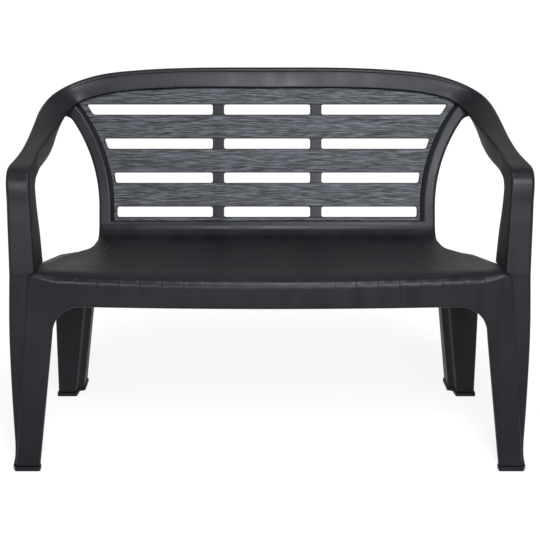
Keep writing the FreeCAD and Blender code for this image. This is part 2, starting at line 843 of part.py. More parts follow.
def post_shape(frame):
    """The right side of the back: a hat-shaped wall bent outwards to the shoulder."""
    outer, wall, proud = size("post_half"), size("wall"), size("face_proud")
    bend = size("post_bend_up")
    face = outer - size("post_face")
    panel = face - size("post_bevel")
    lap = panel - size("post_margin") - size("post_lap")
    spine = [Vector(lap, 0), Vector(panel, 0), Vector(face, proud),
             Vector(outer, proud), Vector(outer, proud - size("post_depth"))]
    corners, radii = bent_strip(spine[::-1], wall, size("post_round"))
    section = Part.Face(rounded_wire(corners, radii, lambda p: Vector(p.x, bend, p.y)))
    axis = Vector(outer + size("post_radius"), bend, 0)
    bent = section.revolve(axis, Vector(0, 0, 1), -size("post_sweep"))
    straight = section.extrude(Vector(0, size("band_top") - bend, 0))
    tail = size("post_tail")
    side = block((outer - wall, -tail, proud - size("post_depth")), (outer, size("band_top"), proud))
    field = slat_field(-tail, size("panel_high"), size("post_lap") + size("post_depth"))
    post = in_seat_frame(bent.fuse([straight, side]).cut(field))
    for member in frame:
        post = post.cut(member)
    far = size("clear_of_all")
    below = block((0, 0, 0), (far, far, size("seat_rear_up") - wall))
    return largest(post.cut(below))


def add_band():
    """The curved band between the back and the seat, with a ledge for the lowest slat."""
    body = add_body("lower_back_band")
    sketch = add_sketch(body, "YZ_Plane", "band_profile")
    wall, radius = size("wall"), size("band_radius")
    centre = band_centre()
    angle = math.radians(size("recline"))
    face = size("face_proud")
    low = Vector(centre.x, centre.y - radius)
    tangent = centre + Vector(math.cos(angle), -math.sin(angle)) * radius
    lean = math.radians(-45 - size("recline") / 2)
    middle = Vector(math.cos(lean), math.sin(lean))
    outward = (tangent - centre).normalize()
    top = size("panel_low")
    points = [slope(top - 2.5, face), slope(top, 0), slope(top, -wall), slope(top - 5, face - wall)]
    path = [tangent] + points + [tangent + outward * wall]
    for first, last in zip(path, path[1:]):
        sketch.addGeometry(Part.LineSegment(first, last), False)
    under = low - Vector(0, wall)
    sketch.addGeometry(Part.Arc(path[-1], centre + middle * (radius + wall), under), False)
    sketch.addGeometry(Part.LineSegment(under, low), False)
    sketch.addGeometry(Part.Arc(low, centre + middle * radius, tangent), False)
    for index in range(sketch.GeometryCount):
        sketch.addConstraint(Sketcher.Constraint("Block", index))
    add_pad(body, sketch, "band_blank", "2 * sizes.post_half", both=True)
    return body


# Rear legs and feet

def rear_leg_share(up):
    return (up - size("foot_height")) / (size("rear_leg_top") - size("foot_height"))


def rear_leg_line(up):
    """How far back the front web of the rear leg is."""
    return mix(size("rear_leg_back_low"), size("rear_leg_back_high"), rear_leg_share(up))


def rear_leg_section(up):
    share = rear_leg_share(up)
    web = rear_leg_line(up)
    depth_low = size("bench_depth") - size("rear_foot_flare") - size("rear_leg_back_low")
    back = web + mix(depth_low, size("rear_leg_depth_high"), share)
    side = mix(half("rear_leg_side_low"), half("rear_leg_side_high"), share)
    corner = mix(half("rear_leg_web_low"), size("post_half") + size("rear_leg_web_high"), share)
    inner = mix(half("rear_leg_inner_low"), size("post_half") + size("rear_leg_inner_high"), share)
    step = web + size("rear_leg_step")
    spine = [Vector(inner, back), Vector(inner, step + size("rear_leg_step_run")),
             Vector(corner - size("rear_leg_step_taper"), step),
             Vector(corner, web), Vector(side, web), Vector(side, back)]
    corners, radii = bent_strip(spine, size("wall"), size("post_round"))
    return rounded_wire(corners, radii, level(up))


def rear_members():
    legs = loft([rear_leg_section(size("foot_height")), rear_leg_section(size("rear_leg_top"))], True)
    shoulder = above_skirt()
    leg = largest(legs.cut(shoulder))
    add_pair("rear_leg", leg)
    low = size("rear_skirt_low")
    high = size("rear_leg_top")
    wall = size("wall")
    outline = [(rear_leg_line(low), low), (rear_leg_line(high), high),
               (rear_leg_line(high) + wall, high), (rear_leg_line(low) + wall, low)]
    reach = half("rear_leg_web_low")
    wire = rounded_wire([Vector(*c) for c in outline], [0] * 4, upright(-reach))
    skirt = Part.Face(wire).extrude(Vector(2 * reach, 0, 0))
    centre = band_centre()
    start = Vector(-2 * reach, centre.x, centre.y)
    skirt = skirt.cut(Part.makeCylinder(size("band_radius") + wall, 4 * reach, start, Vector(1, 0, 0)))
    for tool in (leg, mirrored(leg), shoulder, mirrored(shoulder)):
        skirt = skirt.cut(tool)
    add_shape("rear_skirt", largest(skirt))


def mirrored(shape):
    return shape.mirror(Vector(0, 0, 0), Vector(1, 0, 0))


def add_foot(name, corners):
    body = add_body(f"{name}_right_foot")
    sketch = add_sketch(body, "XY_Plane", f"{name}_foot_outline")
    draw_outline(sketch, corners, [size("wall")] * len(corners))
    add_pad(body, sketch, f"{name}_foot_plate", "sizes.foot_height")
    add_mirrored(f"{name}_left_foot", body)


def foot_members():
    flare = size("foot_flare")
    side = half("side_foot")
    front = size("leg_front_low") - flare
    line = size("leg_front_low") + size("face_step")
    back = line + size("side_depth_low") + size("foot_flare") / 2
    inner = half("leg_inner_low") - flare / 2
    lap = 2 * size("wall")
    add_foot("front", [(inner, front), (crease(0), front), (side, line), (side, back),
                       (side - 2 * lap, back), (inner, line + lap)])
    flare = size("rear_foot_flare")
    web = size("rear_leg_back_low") - flare
    side = half("rear_leg_side_low") + flare
    corner = half("rear_leg_web_low") - flare
    inner = half("rear_leg_inner_low") - flare
    step = web + size("rear_leg_step") + flare
    back = size("bench_depth")
    add_foot("rear", [(corner, web), (side, web), (side, back), (inner, back),
                      (inner, step + size("rear_leg_step_run")),
                      (corner - size("rear_leg_step_taper"), step)])


def back_members():
    """The posts and the top slat are trimmed to the arms, the rail and the band that they meet."""
    frame = [seat_frame_shape(name) for name in ("right_armrest", "right_shoulder", "top_rail", "lower_back_band")]
    post = post_shape(frame)
    add_pair("back_post", post)
    frame = [seat_frame_shape(name) for name in ("right_shoulder", "left_shoulder", "top_rail")]
    add_top_slat(frame + [post, mirrored(post)])
    for row, name in enumerate(("lower_slat", "middle_slat", "upper_slat")):
        add_slat(name, slot_edge(row, 1), slot_edge(row + 1))
    add_bottom_slat()
    add_mullion("left_mullion", -1)
    add_mullion("right_mullion", 1)


def seat_frame_shape(name):
    """A finished piece, measured from the seat's front edge."""
    shape = next(part.Shape for part in parts if part.Label == name).copy()
    shape.translate(centred().Base * -1)
    return shape


def check_document():
    for item in doc.Objects:
        faults = {"Invalid", "Error"} & set(item.State)
        if faults:
            raise ValueError(f"{item.Label} is {', '.join(faults)}")
    for part in parts:
        if part.Shape.isNull() or not part.Shape.isValid():
            raise ValueError(f"{part.Label} has no valid shape")


fill_sheet()
front_members()
leg_members()
arm_members()
add_band()
seat_members()
seat_ribs()
doc.recompute()
back_members()
rear_members()
foot_members()
doc.recompute()
check_document()
os.makedirs("parts", exist_ok=True)
for part in parts:
    part.Shape.exportStep(f"parts/{part.Label}.step")
print(f"{len(parts)} pieces written")
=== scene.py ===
import math

import bmesh
import bpy
import numpy as np
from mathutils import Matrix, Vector


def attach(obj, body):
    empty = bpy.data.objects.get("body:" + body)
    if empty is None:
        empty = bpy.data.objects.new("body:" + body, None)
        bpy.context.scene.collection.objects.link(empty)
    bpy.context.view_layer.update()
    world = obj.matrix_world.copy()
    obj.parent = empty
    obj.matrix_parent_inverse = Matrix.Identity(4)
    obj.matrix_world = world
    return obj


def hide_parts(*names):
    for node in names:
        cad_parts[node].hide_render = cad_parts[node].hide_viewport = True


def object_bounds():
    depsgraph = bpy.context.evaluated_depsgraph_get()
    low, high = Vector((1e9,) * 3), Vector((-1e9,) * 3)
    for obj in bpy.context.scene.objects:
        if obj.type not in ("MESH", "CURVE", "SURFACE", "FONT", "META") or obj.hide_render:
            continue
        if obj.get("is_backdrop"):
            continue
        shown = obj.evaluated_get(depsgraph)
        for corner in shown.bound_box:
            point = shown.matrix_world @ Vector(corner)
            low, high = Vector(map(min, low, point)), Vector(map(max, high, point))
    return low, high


# The looks of a two-seat garden bench, one polypropylene moulding. Lengths are in millimetres
# until a mesh is made: x across, back from the seat's front edge, up from the floor.

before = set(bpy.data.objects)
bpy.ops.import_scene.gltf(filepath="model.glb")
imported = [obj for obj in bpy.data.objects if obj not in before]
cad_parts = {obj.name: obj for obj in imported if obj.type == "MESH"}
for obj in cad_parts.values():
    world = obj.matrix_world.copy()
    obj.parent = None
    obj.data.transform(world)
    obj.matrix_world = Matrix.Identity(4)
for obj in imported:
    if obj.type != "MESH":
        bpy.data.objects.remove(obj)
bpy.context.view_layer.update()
print("frame loaded")


# Numbers and curves

def mix(low, high, share):
    return low + (high - low) * share


# How far value has come on the way from low to high, between 0 and 1
def ramp(low, high, value):
    return np.clip((value - low) / (high - low), 0, 1)


def ease(low, high, value):
    share = ramp(low, high, value)
    return share * share * (3 - 2 * share)


def unit(vectors):
    vectors = np.asarray(vectors, float)
    return vectors / np.linalg.norm(vectors, axis=-1, keepdims=True)


# Natural cubic spline through rows of values
def spline(knots, values, at):
    knots, values, at = (np.asarray(a, float) for a in (knots, values, at))
    steps = np.diff(knots)
    count = len(knots)
    matrix = np.eye(count)
    right = np.zeros_like(values)
    for i in range(1, count - 1):
        matrix[i, i - 1:i + 2] = steps[i - 1], 2 * (steps[i - 1] + steps[i]), steps[i]
        right[i] = 6 * ((values[i + 1] - values[i]) / steps[i] - (values[i] - values[i - 1]) / steps[i - 1])
    bends = np.linalg.solve(matrix, right)
    i = np.clip(np.searchsorted(knots, at, side="right") - 1, 0, count - 2)
    shape = (-1,) + (1,) * (values.ndim - 1)
    h = steps[i].reshape(shape)
    after = ((at - knots[i]) / steps[i]).reshape(shape)
    before = 1 - after
    curve = (before ** 3 - before) * bends[i] + (after ** 3 - after) * bends[i + 1]
    return before * values[i] + after * values[i + 1] + curve * h * h / 6


# Points along a polyline with rounded corners: counts for each straight part and each arc in turn
def roundedPath(corners, radii, counts):
    corners = [np.array(c, float) for c in corners]
    points = []
    start = corners[0]
    counts = list(counts)
    for before, corner, after, radius in zip(corners, corners[1:], corners[2:], radii):
        toLast, toNext = unit(before - corner), unit(after - corner)
        half = math.acos(np.clip(toLast @ toNext, -1, 1)) / 2
        reach = radius / math.tan(half)
        first, last = corner + toLast * reach, corner + toNext * reach
        centre = corner + unit(toLast + toNext) * radius / math.sin(half)
        points += [mix(start, first, t) for t in np.linspace(0, 1, counts.pop(0), endpoint=False)]
        a, b = first - centre, last - centre
        turn = math.acos(np.clip(a @ b / radius ** 2, -1, 1))
        for t in np.linspace(0, 1, counts.pop(0), endpoint=False):
            spread = (math.sin((1 - t) * turn) * a + math.sin(t * turn) * b) / math.sin(turn)
            points.append(centre + spread)
        start = last
    points += [mix(start, corners[-1], t) for t in np.linspace(0, 1, counts.pop(0))]
    return np.array(points)


def lengths(path):
    return np.concatenate([[0], np.cumsum(np.linalg.norm(np.diff(path, axis=0), axis=1))])


# Points of a dense path at distances from its start
def along(path, distance):
    reach = lengths(path)
    return np.stack([np.interp(distance, reach, path[:, i]) for i in range(path.shape[1])], axis=-1)


# Meshes

moulding = {"wall": 4, "edge": 0.6, "edgeAngle": 50, "sharpAngle": 40, "weld": 0.02}
middleLine = 280         # from the seat's front edge to the middle of the frame


# Points from their three directions, each a row of numbers or one for all
def asPoints(x, line, up):
    return np.column_stack(np.broadcast_arrays(x, line, up))


def inMetres(points):
    return (np.asarray(points, float) - (0, middleLine, 0)) / 1000


def inMillimetres(point):
    return point[0] * 1000, point[1] * 1000 + middleLine, point[2] * 1000


def mirrored(grid):
    return grid * (-1, 1, 1)


# A grid whose first row is on the middle of the bench, continued on the left side
def mirroredRows(grid):
    return np.concatenate([mirrored(grid[:0:-1]), grid])


def bothSides(grid):
    return [grid, mirrored(grid)]


# The four points of each face of a grid
def gridFaces(rows, columns):
    index = np.arange(rows * columns).reshape(rows, columns)
    corners = [index[:-1, :-1], index[:-1, 1:], index[1:, 1:], index[1:, :-1]]
    return np.stack(corners, axis=-1).reshape(-1, 4)


# Turns the faces of an open surface so that most of it looks along facing
def turnFaces(work, facing):
    bmesh.ops.recalc_face_normals(work, faces=work.faces)
    if sum(f.calc_area() * f.normal.dot(Vector(facing)) for f in work.faces) < 0:
        bmesh.ops.reverse_faces(work, faces=work.faces)


def smooth(mesh, angle=moulding["sharpAngle"]):
    mesh.shade_smooth()
    mesh.set_sharp_from_angle(angle=math.radians(angle))


# One mesh of welded grids: an open surface that looks along facing, or without it a closed bar
def gridMesh(name, grids, facing=None):
    vertices, faces = [], []
    first = 0
    for grid in grids:
        rows, columns = grid.shape[:2]
        vertices.append(inMetres(grid).reshape(-1, 3))
        faces += (gridFaces(rows, columns) + first).tolist()
        first += rows * columns
    mesh = bpy.data.meshes.new(name)
    mesh.from_pydata(np.concatenate(vertices).tolist(), [], faces)
    work = bmesh.new()
    work.from_mesh(mesh)
    bmesh.ops.remove_doubles(work, verts=work.verts, dist=moulding["weld"] / 1000)
    if facing:
        turnFaces(work, facing)
    else:
        bmesh.ops.holes_fill(work, edges=[e for e in work.edges if e.is_boundary])
        bmesh.ops.recalc_face_normals(work, faces=work.faces)
    work.to_mesh(mesh)
    work.free()
    smooth(mesh)
    return mesh


# A number at each point of a mesh, for the materials
def addNumbers(mesh, name, values):
    attribute = mesh.attributes.new(name, "FLOAT", "POINT")
    attribute.data.foreach_set("value", np.array(values, np.float32))


# The same parts on the left and on the right
def pairs(*parts):
    return [f"{side}_{part}" for side in ("left", "right") for part in parts]


def addObject(name, data):
    thing = bpy.data.objects.new(name, data)
    bpy.context.scene.collection.objects.link(thing)
    return thing


def addPiece(name, mesh, material, nodes):
    piece = addObject(name, mesh)
    mesh.materials.clear()
    mesh.materials.append(material)
    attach(piece, "root")
    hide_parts(*nodes)
    return piece


# Thickness inwards from the surface
def thicken(piece, wall):
    solid = piece.modifiers.new("wall", "SOLIDIFY")
    solid.thickness = wall / 1000
    solid.offset = -1


# The small rounding of moulded edges
def softenEdges(piece, edge, limit=moulding["sharpAngle"]):
    bevel = piece.modifiers.new("edges", "BEVEL")
    bevel.width = edge / 1000
    bevel.segments = 2
    bevel.limit_method = "ANGLE"
    bevel.angle_limit = math.radians(limit)


def addWall(piece):
    thicken(piece, moulding["wall"])
    softenEdges(piece, moulding["edge"], moulding["edgeAngle"])


# Materials

# An sRGB hex colour as linear RGBA
def linear(code):
    channels = [int(code[i:i + 2], 16) / 255 for i in (0, 2, 4)]
    return [c / 12.92 if c <= 0.04045 else ((c + 0.055) / 1.055) ** 2.4 for c in channels] + [1]


def addNode(tree, kind, inputs=None, **settings):
    node = tree.nodes.new(kind)
    for key, value in settings.items():
        setattr(node, key, value)
    for key, value in (inputs or {}).items():
        if isinstance(value, bpy.types.NodeSocket):
            tree.links.new(value, node.inputs[key])
        else:
            node.inputs[key].default_value = value
    return node


def newMaterial(name):
    material = bpy.data.materials.new(name)
    material.use_nodes = True
    material.node_tree.nodes.clear()
    return material, material.node_tree


def colourOf(mixed):
    return next(output for output in mixed.outputs if output.type == "RGBA")


plastic = {
    # lengths and depths in millimetres
    "ior": 1.49, "specular": 0.19, "roughness": 0.3, "uneven": 0.06, "dark": "101114", "light": "1a1c1f",
    "texture": 0.7, "textureDepth": 0.2, "textureBump": 0.12, "flow": 34, "flowStretch": 0.12, "cloud": 110,
    # what cloud and flow add up to where the roughness and the colour begin and end to change
    "roughSpan": (0.7, 1.3), "toneSpan": (0.75, 1.25),
    # roughness added where a face looks up or aside: in full below the first share of its normal
    # along Y, and none above the second
    "duller": 0.28, "facing": (0.2, 0.55),
    # half width of a flow line as a share of their pitch, the part of it at full depth, and the paler colour
    # of the painted highlight that the lines get where a face looks up or aside
    "lineWidth": 0.035, "lineCore": 0.2, "lineDepth": 0.9, "lineHighlight": "55575b",
    # fibres of the grain, and the noise at which a valley ends and a crest begins
    "fibre": 1.3, "fibreStretch": 0.035, "fibreDetail": 2, "fibreRoughness": 0.6, "fibreSeed": 3,
    "fleck": (0.42, 0.68), "grainDepth": 0.4, "grainBump": 0.35, "grainRoughness": 0.36,
    # the crest's pale colour is the moulded grain and partly a painted glint
    "valley": "111214", "crest": "74767a",
}


# Polypropylene from an eroded steel mould: dark and satin, with the faint streaks and clouds of its
# flow, which make the broad highlights uneven. The seat, the arms' tops and the inner walls are
# eroded coarser, and look duller. Thin lines on the seat's ends and on the front roll come from the
# attributes flowLine and flowShare; where a face looks up or aside they carry a painted highlight, a
# paler colour. IOR 1.49, roughness about 0.3
def satinPolypropylene():
    material, tree = newMaterial("satin_moulded_polypropylene")
    place = addNode(tree, "ShaderNodeTexCoord").outputs["Object"]
    fine = addNode(tree, "ShaderNodeTexNoise", {
        "Vector": place, "Scale": 1000 / plastic["texture"], "Detail": 3})
    cloud = addNode(tree, "ShaderNodeTexNoise", {
        "Vector": place, "Scale": 1000 / plastic["cloud"], "Detail": 2})
    lengthen = addNode(tree, "ShaderNodeMapping", {
        "Vector": place, "Scale": (1, plastic["flowStretch"], plastic["flowStretch"])})
    flow = addNode(tree, "ShaderNodeTexNoise", {
        "Vector": lengthen.outputs["Vector"], "Scale": 1000 / plastic["flow"], "Detail": 2})
    uneven = addNode(tree, "ShaderNodeMath", {
        0: cloud.outputs["Fac"], 1: flow.outputs["Fac"]}, operation="ADD").outputs["Value"]
    rough = addNode(tree, "ShaderNodeMapRange", {
        "Value": uneven, "From Min": plastic["roughSpan"][0], "From Max": plastic["roughSpan"][1],
        "To Min": plastic["roughness"] - plastic["uneven"],
        "To Max": plastic["roughness"] + plastic["uneven"]})
    normal = addNode(tree, "ShaderNodeTexCoord").outputs["Normal"]
    forward = addNode(tree, "ShaderNodeSeparateXYZ", {"Vector": normal}).outputs["Y"]
    facing = addNode(tree, "ShaderNodeMath", {0: forward}, operation="ABSOLUTE")
    flat = addNode(tree, "ShaderNodeMapRange", {
        "Value": facing.outputs["Value"], "From Min": plastic["facing"][0], "From Max": plastic["facing"][1],
        "To Min": plastic["duller"], "To Max": 0}, interpolation_type="SMOOTHSTEP").outputs["Result"]
    dull = addNode(tree, "ShaderNodeMath", {0: rough.outputs["Result"], 1: flat}, operation="ADD")
    number = addNode(tree, "ShaderNodeAttribute", attribute_name="flowLine").outputs["Fac"]
    aside = addNode(tree, "ShaderNodeMath", {0: number, 1: 0.5}, operation="PINGPONG")
    thin = addNode(tree, "ShaderNodeMapRange", {
        "Value": aside.outputs["Value"], "From Min": plastic["lineCore"] * plastic["lineWidth"],
        "From Max": plastic["lineWidth"], "To Min": 1, "To Max": 0}, interpolation_type="SMOOTHSTEP")
    present = addNode(tree, "ShaderNodeAttribute", attribute_name="flowShare").outputs["Fac"]
    line = addNode(tree, "ShaderNodeMath", {
        0: thin.outputs["Result"], 1: present}, operation="MULTIPLY").outputs["Value"]
    share = addNode(tree, "ShaderNodeMapRange", {
        "Value": uneven, "From Min": plastic["toneSpan"][0], "From Max": plastic["toneSpan"][1]})
    tone = addNode(tree, "ShaderNodeMix", {
        "Factor": share.outputs["Result"], "A": linear(plastic["dark"]), "B": linear(plastic["light"])},
        data_type="RGBA")
    # painted highlight: the flow lines are painted paler where a face looks up or aside, as if light catches
    # them
    highlightOnLine = addNode(tree, "ShaderNodeMath", {0: line, 1: flat}, operation="MULTIPLY")
    paintedLineHighlight = addNode(tree, "ShaderNodeMath", {
        0: highlightOnLine.outputs["Value"], 1: 1 / plastic["duller"]}, operation="MULTIPLY")
    colour = addNode(tree, "ShaderNodeMix", {
        "Factor": paintedLineHighlight.outputs["Value"], "A": colourOf(tone), "B": linear(plastic["lineHighlight"])},
        data_type="RGBA")
    bump = addNode(tree, "ShaderNodeBump", {
        "Height": fine.outputs["Fac"], "Strength": plastic["textureBump"],
        "Distance": plastic["textureDepth"] / 1000})
    groove = addNode(tree, "ShaderNodeBump", {
        "Height": line, "Strength": 1, "Distance": plastic["lineDepth"] / 1000,
        "Normal": bump.outputs["Normal"]}, invert=True)
    surface = addNode(tree, "ShaderNodeBsdfPrincipled", {
        "Base Color": colourOf(colour), "Roughness": dull.outputs["Value"],
        "Normal": groove.outputs["Normal"],
        "IOR": plastic["ior"], "Specular IOR Level": plastic["specular"]})
    addNode(tree, "ShaderNodeOutputMaterial", {"Surface": surface.outputs["BSDF"]})
    return material


# The same polypropylene from a mould etched with wood grain: dull valleys between fibres painted pale
# along the slats, the moulded grain and partly a painted glint. Real fibres are about 1 mm thick and are
# drawn coarser, so that they show
def grainedPolypropylene():
    material, tree = newMaterial("wood_grained_polypropylene")
    place = addNode(tree, "ShaderNodeTexCoord").outputs["Object"]
    stretch = addNode(tree, "ShaderNodeMapping", {"Vector": place, "Scale": (plastic["fibreStretch"], 1, 1)})
    fibre = addNode(tree, "ShaderNodeTexNoise", {
        "Vector": stretch.outputs["Vector"], "W": float(plastic["fibreSeed"]),
        "Scale": 1000 / plastic["fibre"], "Detail": plastic["fibreDetail"],
        "Roughness": plastic["fibreRoughness"]}, noise_dimensions="4D")
    fleck = addNode(tree, "ShaderNodeMapRange", {
        "Value": fibre.outputs["Fac"], "From Min": plastic["fleck"][0], "From Max": plastic["fleck"][1]})
    margin = addNode(tree, "ShaderNodeAttribute", attribute_name="grain")
    share = addNode(tree, "ShaderNodeMath", {
        0: fleck.outputs["Result"], 1: margin.outputs["Fac"]}, operation="MULTIPLY").outputs["Value"]
    # pale crests: the grain's pattern, partly a painted glint
    tone = addNode(tree, "ShaderNodeMix", {
        "Factor": share, "A": linear(plastic["valley"]), "B": linear(plastic["crest"])}, data_type="RGBA")
    rough = addNode(tree, "ShaderNodeMapRange", {
        "Value": share, "To Min": plastic["grainRoughness"] + plastic["uneven"],
        "To Max": plastic["grainRoughness"] - plastic["uneven"]})
    bump = addNode(tree, "ShaderNodeBump", {
        "Height": fibre.outputs["Fac"], "Strength": plastic["grainBump"],
        "Distance": plastic["grainDepth"] / 1000})
    surface = addNode(tree, "ShaderNodeBsdfPrincipled", {
        "Base Color": colourOf(tone), "Roughness": rough.outputs["Result"], "Normal": bump.outputs["Normal"],
        "IOR": plastic["ior"], "Specular IOR Level": plastic["specular"]})
    addNode(tree, "ShaderNodeOutputMaterial", {"Surface": surface.outputs["BSDF"]})
    return material


satin = satinPolypropylene()
grained = grainedPolypropylene()
print("materials made")


# Shapes that several pieces share

seat = {
    "half": 504, "frontUp": 436, "endRise": 10, "bow": 14, "frontLine": 45, "rearUp": 431, "dish": 8,
    "rearLine": 374.9,
    # line, end of the seat's own columns, where the end rolls off, foot of the roll and its height,
    # both radii
    "ends": [
        (45, 500, 503, 512, 443, 4, 4),
        (100, 494, 502, 512, 440, 8, 6),
        (130, 474, 486, 500, 434, 14, 12),
        (200, 460, 474, 491, 423, 18, 16),
        (270, 424, 436, 474, 418, 26, 20),
        (300, 412, 417, 448, 415, 14, 18),
        (330, 408.5, 412.5, 434, 410.5, 8, 18),
        (374.9, 407.5, 412.5, 412.5, 408.3, 5, 20),
    ],
    # behind the seat: line, foot of the shoulder and its height, knee above it, top of its wall
    "behind": [
        (374.9, 412.5, 408.3, 424.6, 424.6),
        (400, 425, 399, 420, 424.6),
        (433, 438, 388.5, 404, 424.6),
        (450, 443, 384, 398, 410),
        (488, 450, 375, 384, 384),
    ],
    "shoulderFront": 424, "shoulderRear": 362, "sideFront": 553.5, "sideRear": 530,
    "skirtFront": 100, "skirtRear": 488, "skirtLow": 345, "skirtArch": 25, "bend": 12, "blur": 14,
    # how much the foot's radius shrinks behind the seat, and the points from the foot to the skirt's edge
    "footShrink": 2, "shoulderPoints": (10, 16, 8, 10),
}
leg = {
    "foot": 9, "frontLow": 5, "joint": 440, "step": 8,
    "innerLow": 505, "innerHigh": 469, "innerTop": 310,
    "creaseLow": 556.5, "creaseHigh": 516.6,
}


# The seat's front edge rises, and bows back, towards the ends
def rise(x):
    return seat["endRise"] * (x / seat["half"]) ** 2


def frontFace(x, up):
    return mix(leg["frontLow"], seat["bow"] * (x / seat["half"]) ** 2, up / leg["joint"])


# The corner of the front leg, between its front face and its outer panel
def crease(up):
    return mix(leg["creaseLow"], leg["creaseHigh"], up / leg["joint"])


def legInner(up):
    return mix(leg["innerLow"], leg["innerHigh"], up / leg["innerTop"])


# The seat's end at one line, its table rounded off between the rows
def seatEnd(line):
    table = np.array(seat["ends"], float)
    blur = np.clip(min(line - seat["frontLine"], seat["rearLine"] - line), 0, seat["blur"])
    spots = line + blur * np.linspace(-1, 1, 9)
    return [float(np.interp(spots, table[:, 0], table[:, i]).mean()) for i in range(1, 7)]


# The dish fades out towards the ends
def seatTop(x, line):
    share = (line - seat["frontLine"]) / (seat["rearLine"] - seat["frontLine"])
    edge = mix(seat["frontUp"] + rise(x), seat["rearUp"], share)
    dish = 4 * seat["dish"] * share * (1 - share)
    return edge - dish * (1 - (np.abs(x) / seat["half"]) ** 12)


# Arms and top rail: a channel swept from the feet over the arms and along the rail

band = {
    "radius": 7, "innerRadius": 4.5, "spacing": 5, "leastDepth": 9, "columns": (6, 7, 28, 7, 5),
    # a groove behind the front edge and a low crown, from where the arm has turned into the rail
    "groove": 0.9, "grooveAt": 9.5, "grooveWidth": 1.7, "crown": 0.9, "railFrom": (700, 790),
    # outer edge (x, back, up), way to the inner edge, depth of the outer and the inner wall, and the way
    # that the walls fold, or None for square to the face
    "stations": [
        (559, 22, 440, 55, 0, 0, 108, 108, (0, 1, 0)),
        (559.2, 23.8, 480, 53.9, 0, 0, 101, 101, (0, 1, 0)),
        (559.5, 25.5, 520, 52.7, 0, 0, 94, 93, (0, 1, 0)),
        (559.8, 27.2, 560, 51.6, 0, 0, 87, 80, (0, 1, 0)),
        (560, 29, 600, 50.5, 0, 0, 80, 72, (0, 1, 0)),
        (560.5, 31, 642, 50, 1, 0, 86, 77, (0, 0.94, -0.34)),
        (559.5, 41, 663, 49.5, 1, 0, 86, 75, (0, 0.87, -0.49)),
        (557, 70, 673, 48, 1.5, 1, 72, 58, (0, 0.79, -0.62)),
        (552.5, 125, 681, 43, 2, 2, 52, 42, (0, 0.44, -0.9)),
        (550, 175, 689, 40, 3, 3, 45, 47, None),
        (547.5, 280, 714, 45, 10, 11, 40, 54, (0.16, 0.22, -0.96)),
        (546, 330.7, 729.4, 49.7, 27.6, 15.2, 37.7, 53, (0.27, 0.25, -0.93)),
        (541.5, 375, 746, 52.5, 33, 20, 36, 52, (0.43, 0.36, -0.83)),
        (516, 443.5, 780, 48.4, 11.5, 32, 34, 10, None),
        (450, 474, 810.5, 25, -9, 43.5, 32, 9, None),
        (350, 487, 829, 8, -16, 48, 30, 9, None),
        (0, 495, 838, 0, -20, 49.8, 30, 9.5, None),
    ],
    # outer panel of the leg: height and half width
    "sides": [(9, 563.2), (20, 560.6), (45, 558.2), (87, 559), (203, 562.3), (311, 563.2), (440, 559)],
    # its rows are close together up to the first height, and its wall has a depth at the foot and at
    # the top. Its edge runs on a little way behind the front face
    "sideFlare": 45, "sideTop": 434, "sideDepth": (56, 108), "sideRadius": 4.8, "lap": 2,
}
faceStart, faceEnd = sum(band["columns"][:2]), sum(band["columns"][:3])


# Outer edge, inner edge, fold direction and wall depths at each station, over both sides
def bandStations():
    outer = np.array([s[:3] for s in band["stations"]], float)
    inner = outer + [(-s[3], s[4], -s[5]) for s in band["stations"]]
    middle = outer + inner
    sweep = unit(np.concatenate([middle[1:2] - middle[:1], middle[2:] - middle[:-2], [[-1, 0, 0]]]))
    folds = unit(np.cross(unit(inner - outer), sweep))
    for i, station in enumerate(band["stations"]):
        if station[8] is not None:
            folds[i] = unit(station[8])
    depths = np.array([s[6:8] for s in band["stations"]], float)
    right = np.concatenate([outer, inner, folds, depths], axis=1)
    left = right[-2::-1].copy()
    left[:, [0, 3, 6]] *= -1
    return np.concatenate([right, left])


# Points across the band: outer wall, face and inner wall
def bandSection(row):
    outer, inner, fold, depths = row[:3], row[3:6], unit(row[6:9]), row[9:]
    face = np.linalg.norm(inner - outer)
    across = (inner - outer) / face
    corners = [(0, depths[0]), (0, 0), (face, 0), (face, depths[1])]
    flat = roundedPath(corners, [band["radius"], band["innerRadius"]], band["columns"])
    u = flat[:, 0]
    crown = band["crown"] * (1 - (2 * u / face - 1) ** 2)
    groove = band["groove"] * np.exp(-((u - band["grooveAt"]) / band["grooveWidth"]) ** 2)
    shape = (crown - groove) * ease(*band["railFrom"], outer[2])
    flat[faceStart:faceEnd + 1, 1] -= shape[faceStart:faceEnd + 1] - shape[[faceStart, faceEnd]].min()
    return outer + across * flat[:, :1] + fold * flat[:, 1:]


def bandGrid():
    stations = bandStations()
    middle = (stations[:, :3] + stations[:, 3:6]) / 2
    knots = lengths(middle)
    half = len(stations) // 2
    count = int(knots[half] / band["spacing"])
    right = np.linspace(0, knots[half], count)
    rows = spline(knots, stations, right)
    rows[:, 9:] = np.maximum(rows[:, 9:], band["leastDepth"])
    return np.array([bandSection(row) for row in rows])[::-1]


# The outer panel of the leg and its side wall, with the same columns as the band's first part
def legSideGrid():
    ups, sides = zip(*band["sides"])
    levels = np.concatenate([np.linspace(leg["foot"], band["sideFlare"], 12, endpoint=False),
                             np.linspace(band["sideFlare"], band["sideTop"], 60)])
    start, turn, face = band["columns"][:3]
    rows = []
    for up, side in zip(levels[::-1], spline(ups, sides, levels)[::-1]):
        share = (up - leg["foot"]) / (leg["joint"] - leg["foot"])
        line = frontFace(crease(up), up) + leg["step"]
        depth = mix(*band["sideDepth"], share)
        corners = [(side, line + depth), (side, line), (crease(up) - band["lap"], line)]
        flat = roundedPath(corners, [mix(band["sideRadius"], band["radius"], share)], [start, turn, face + 1])
        rows.append(asPoints(*flat.T, up))
    return np.array(rows)


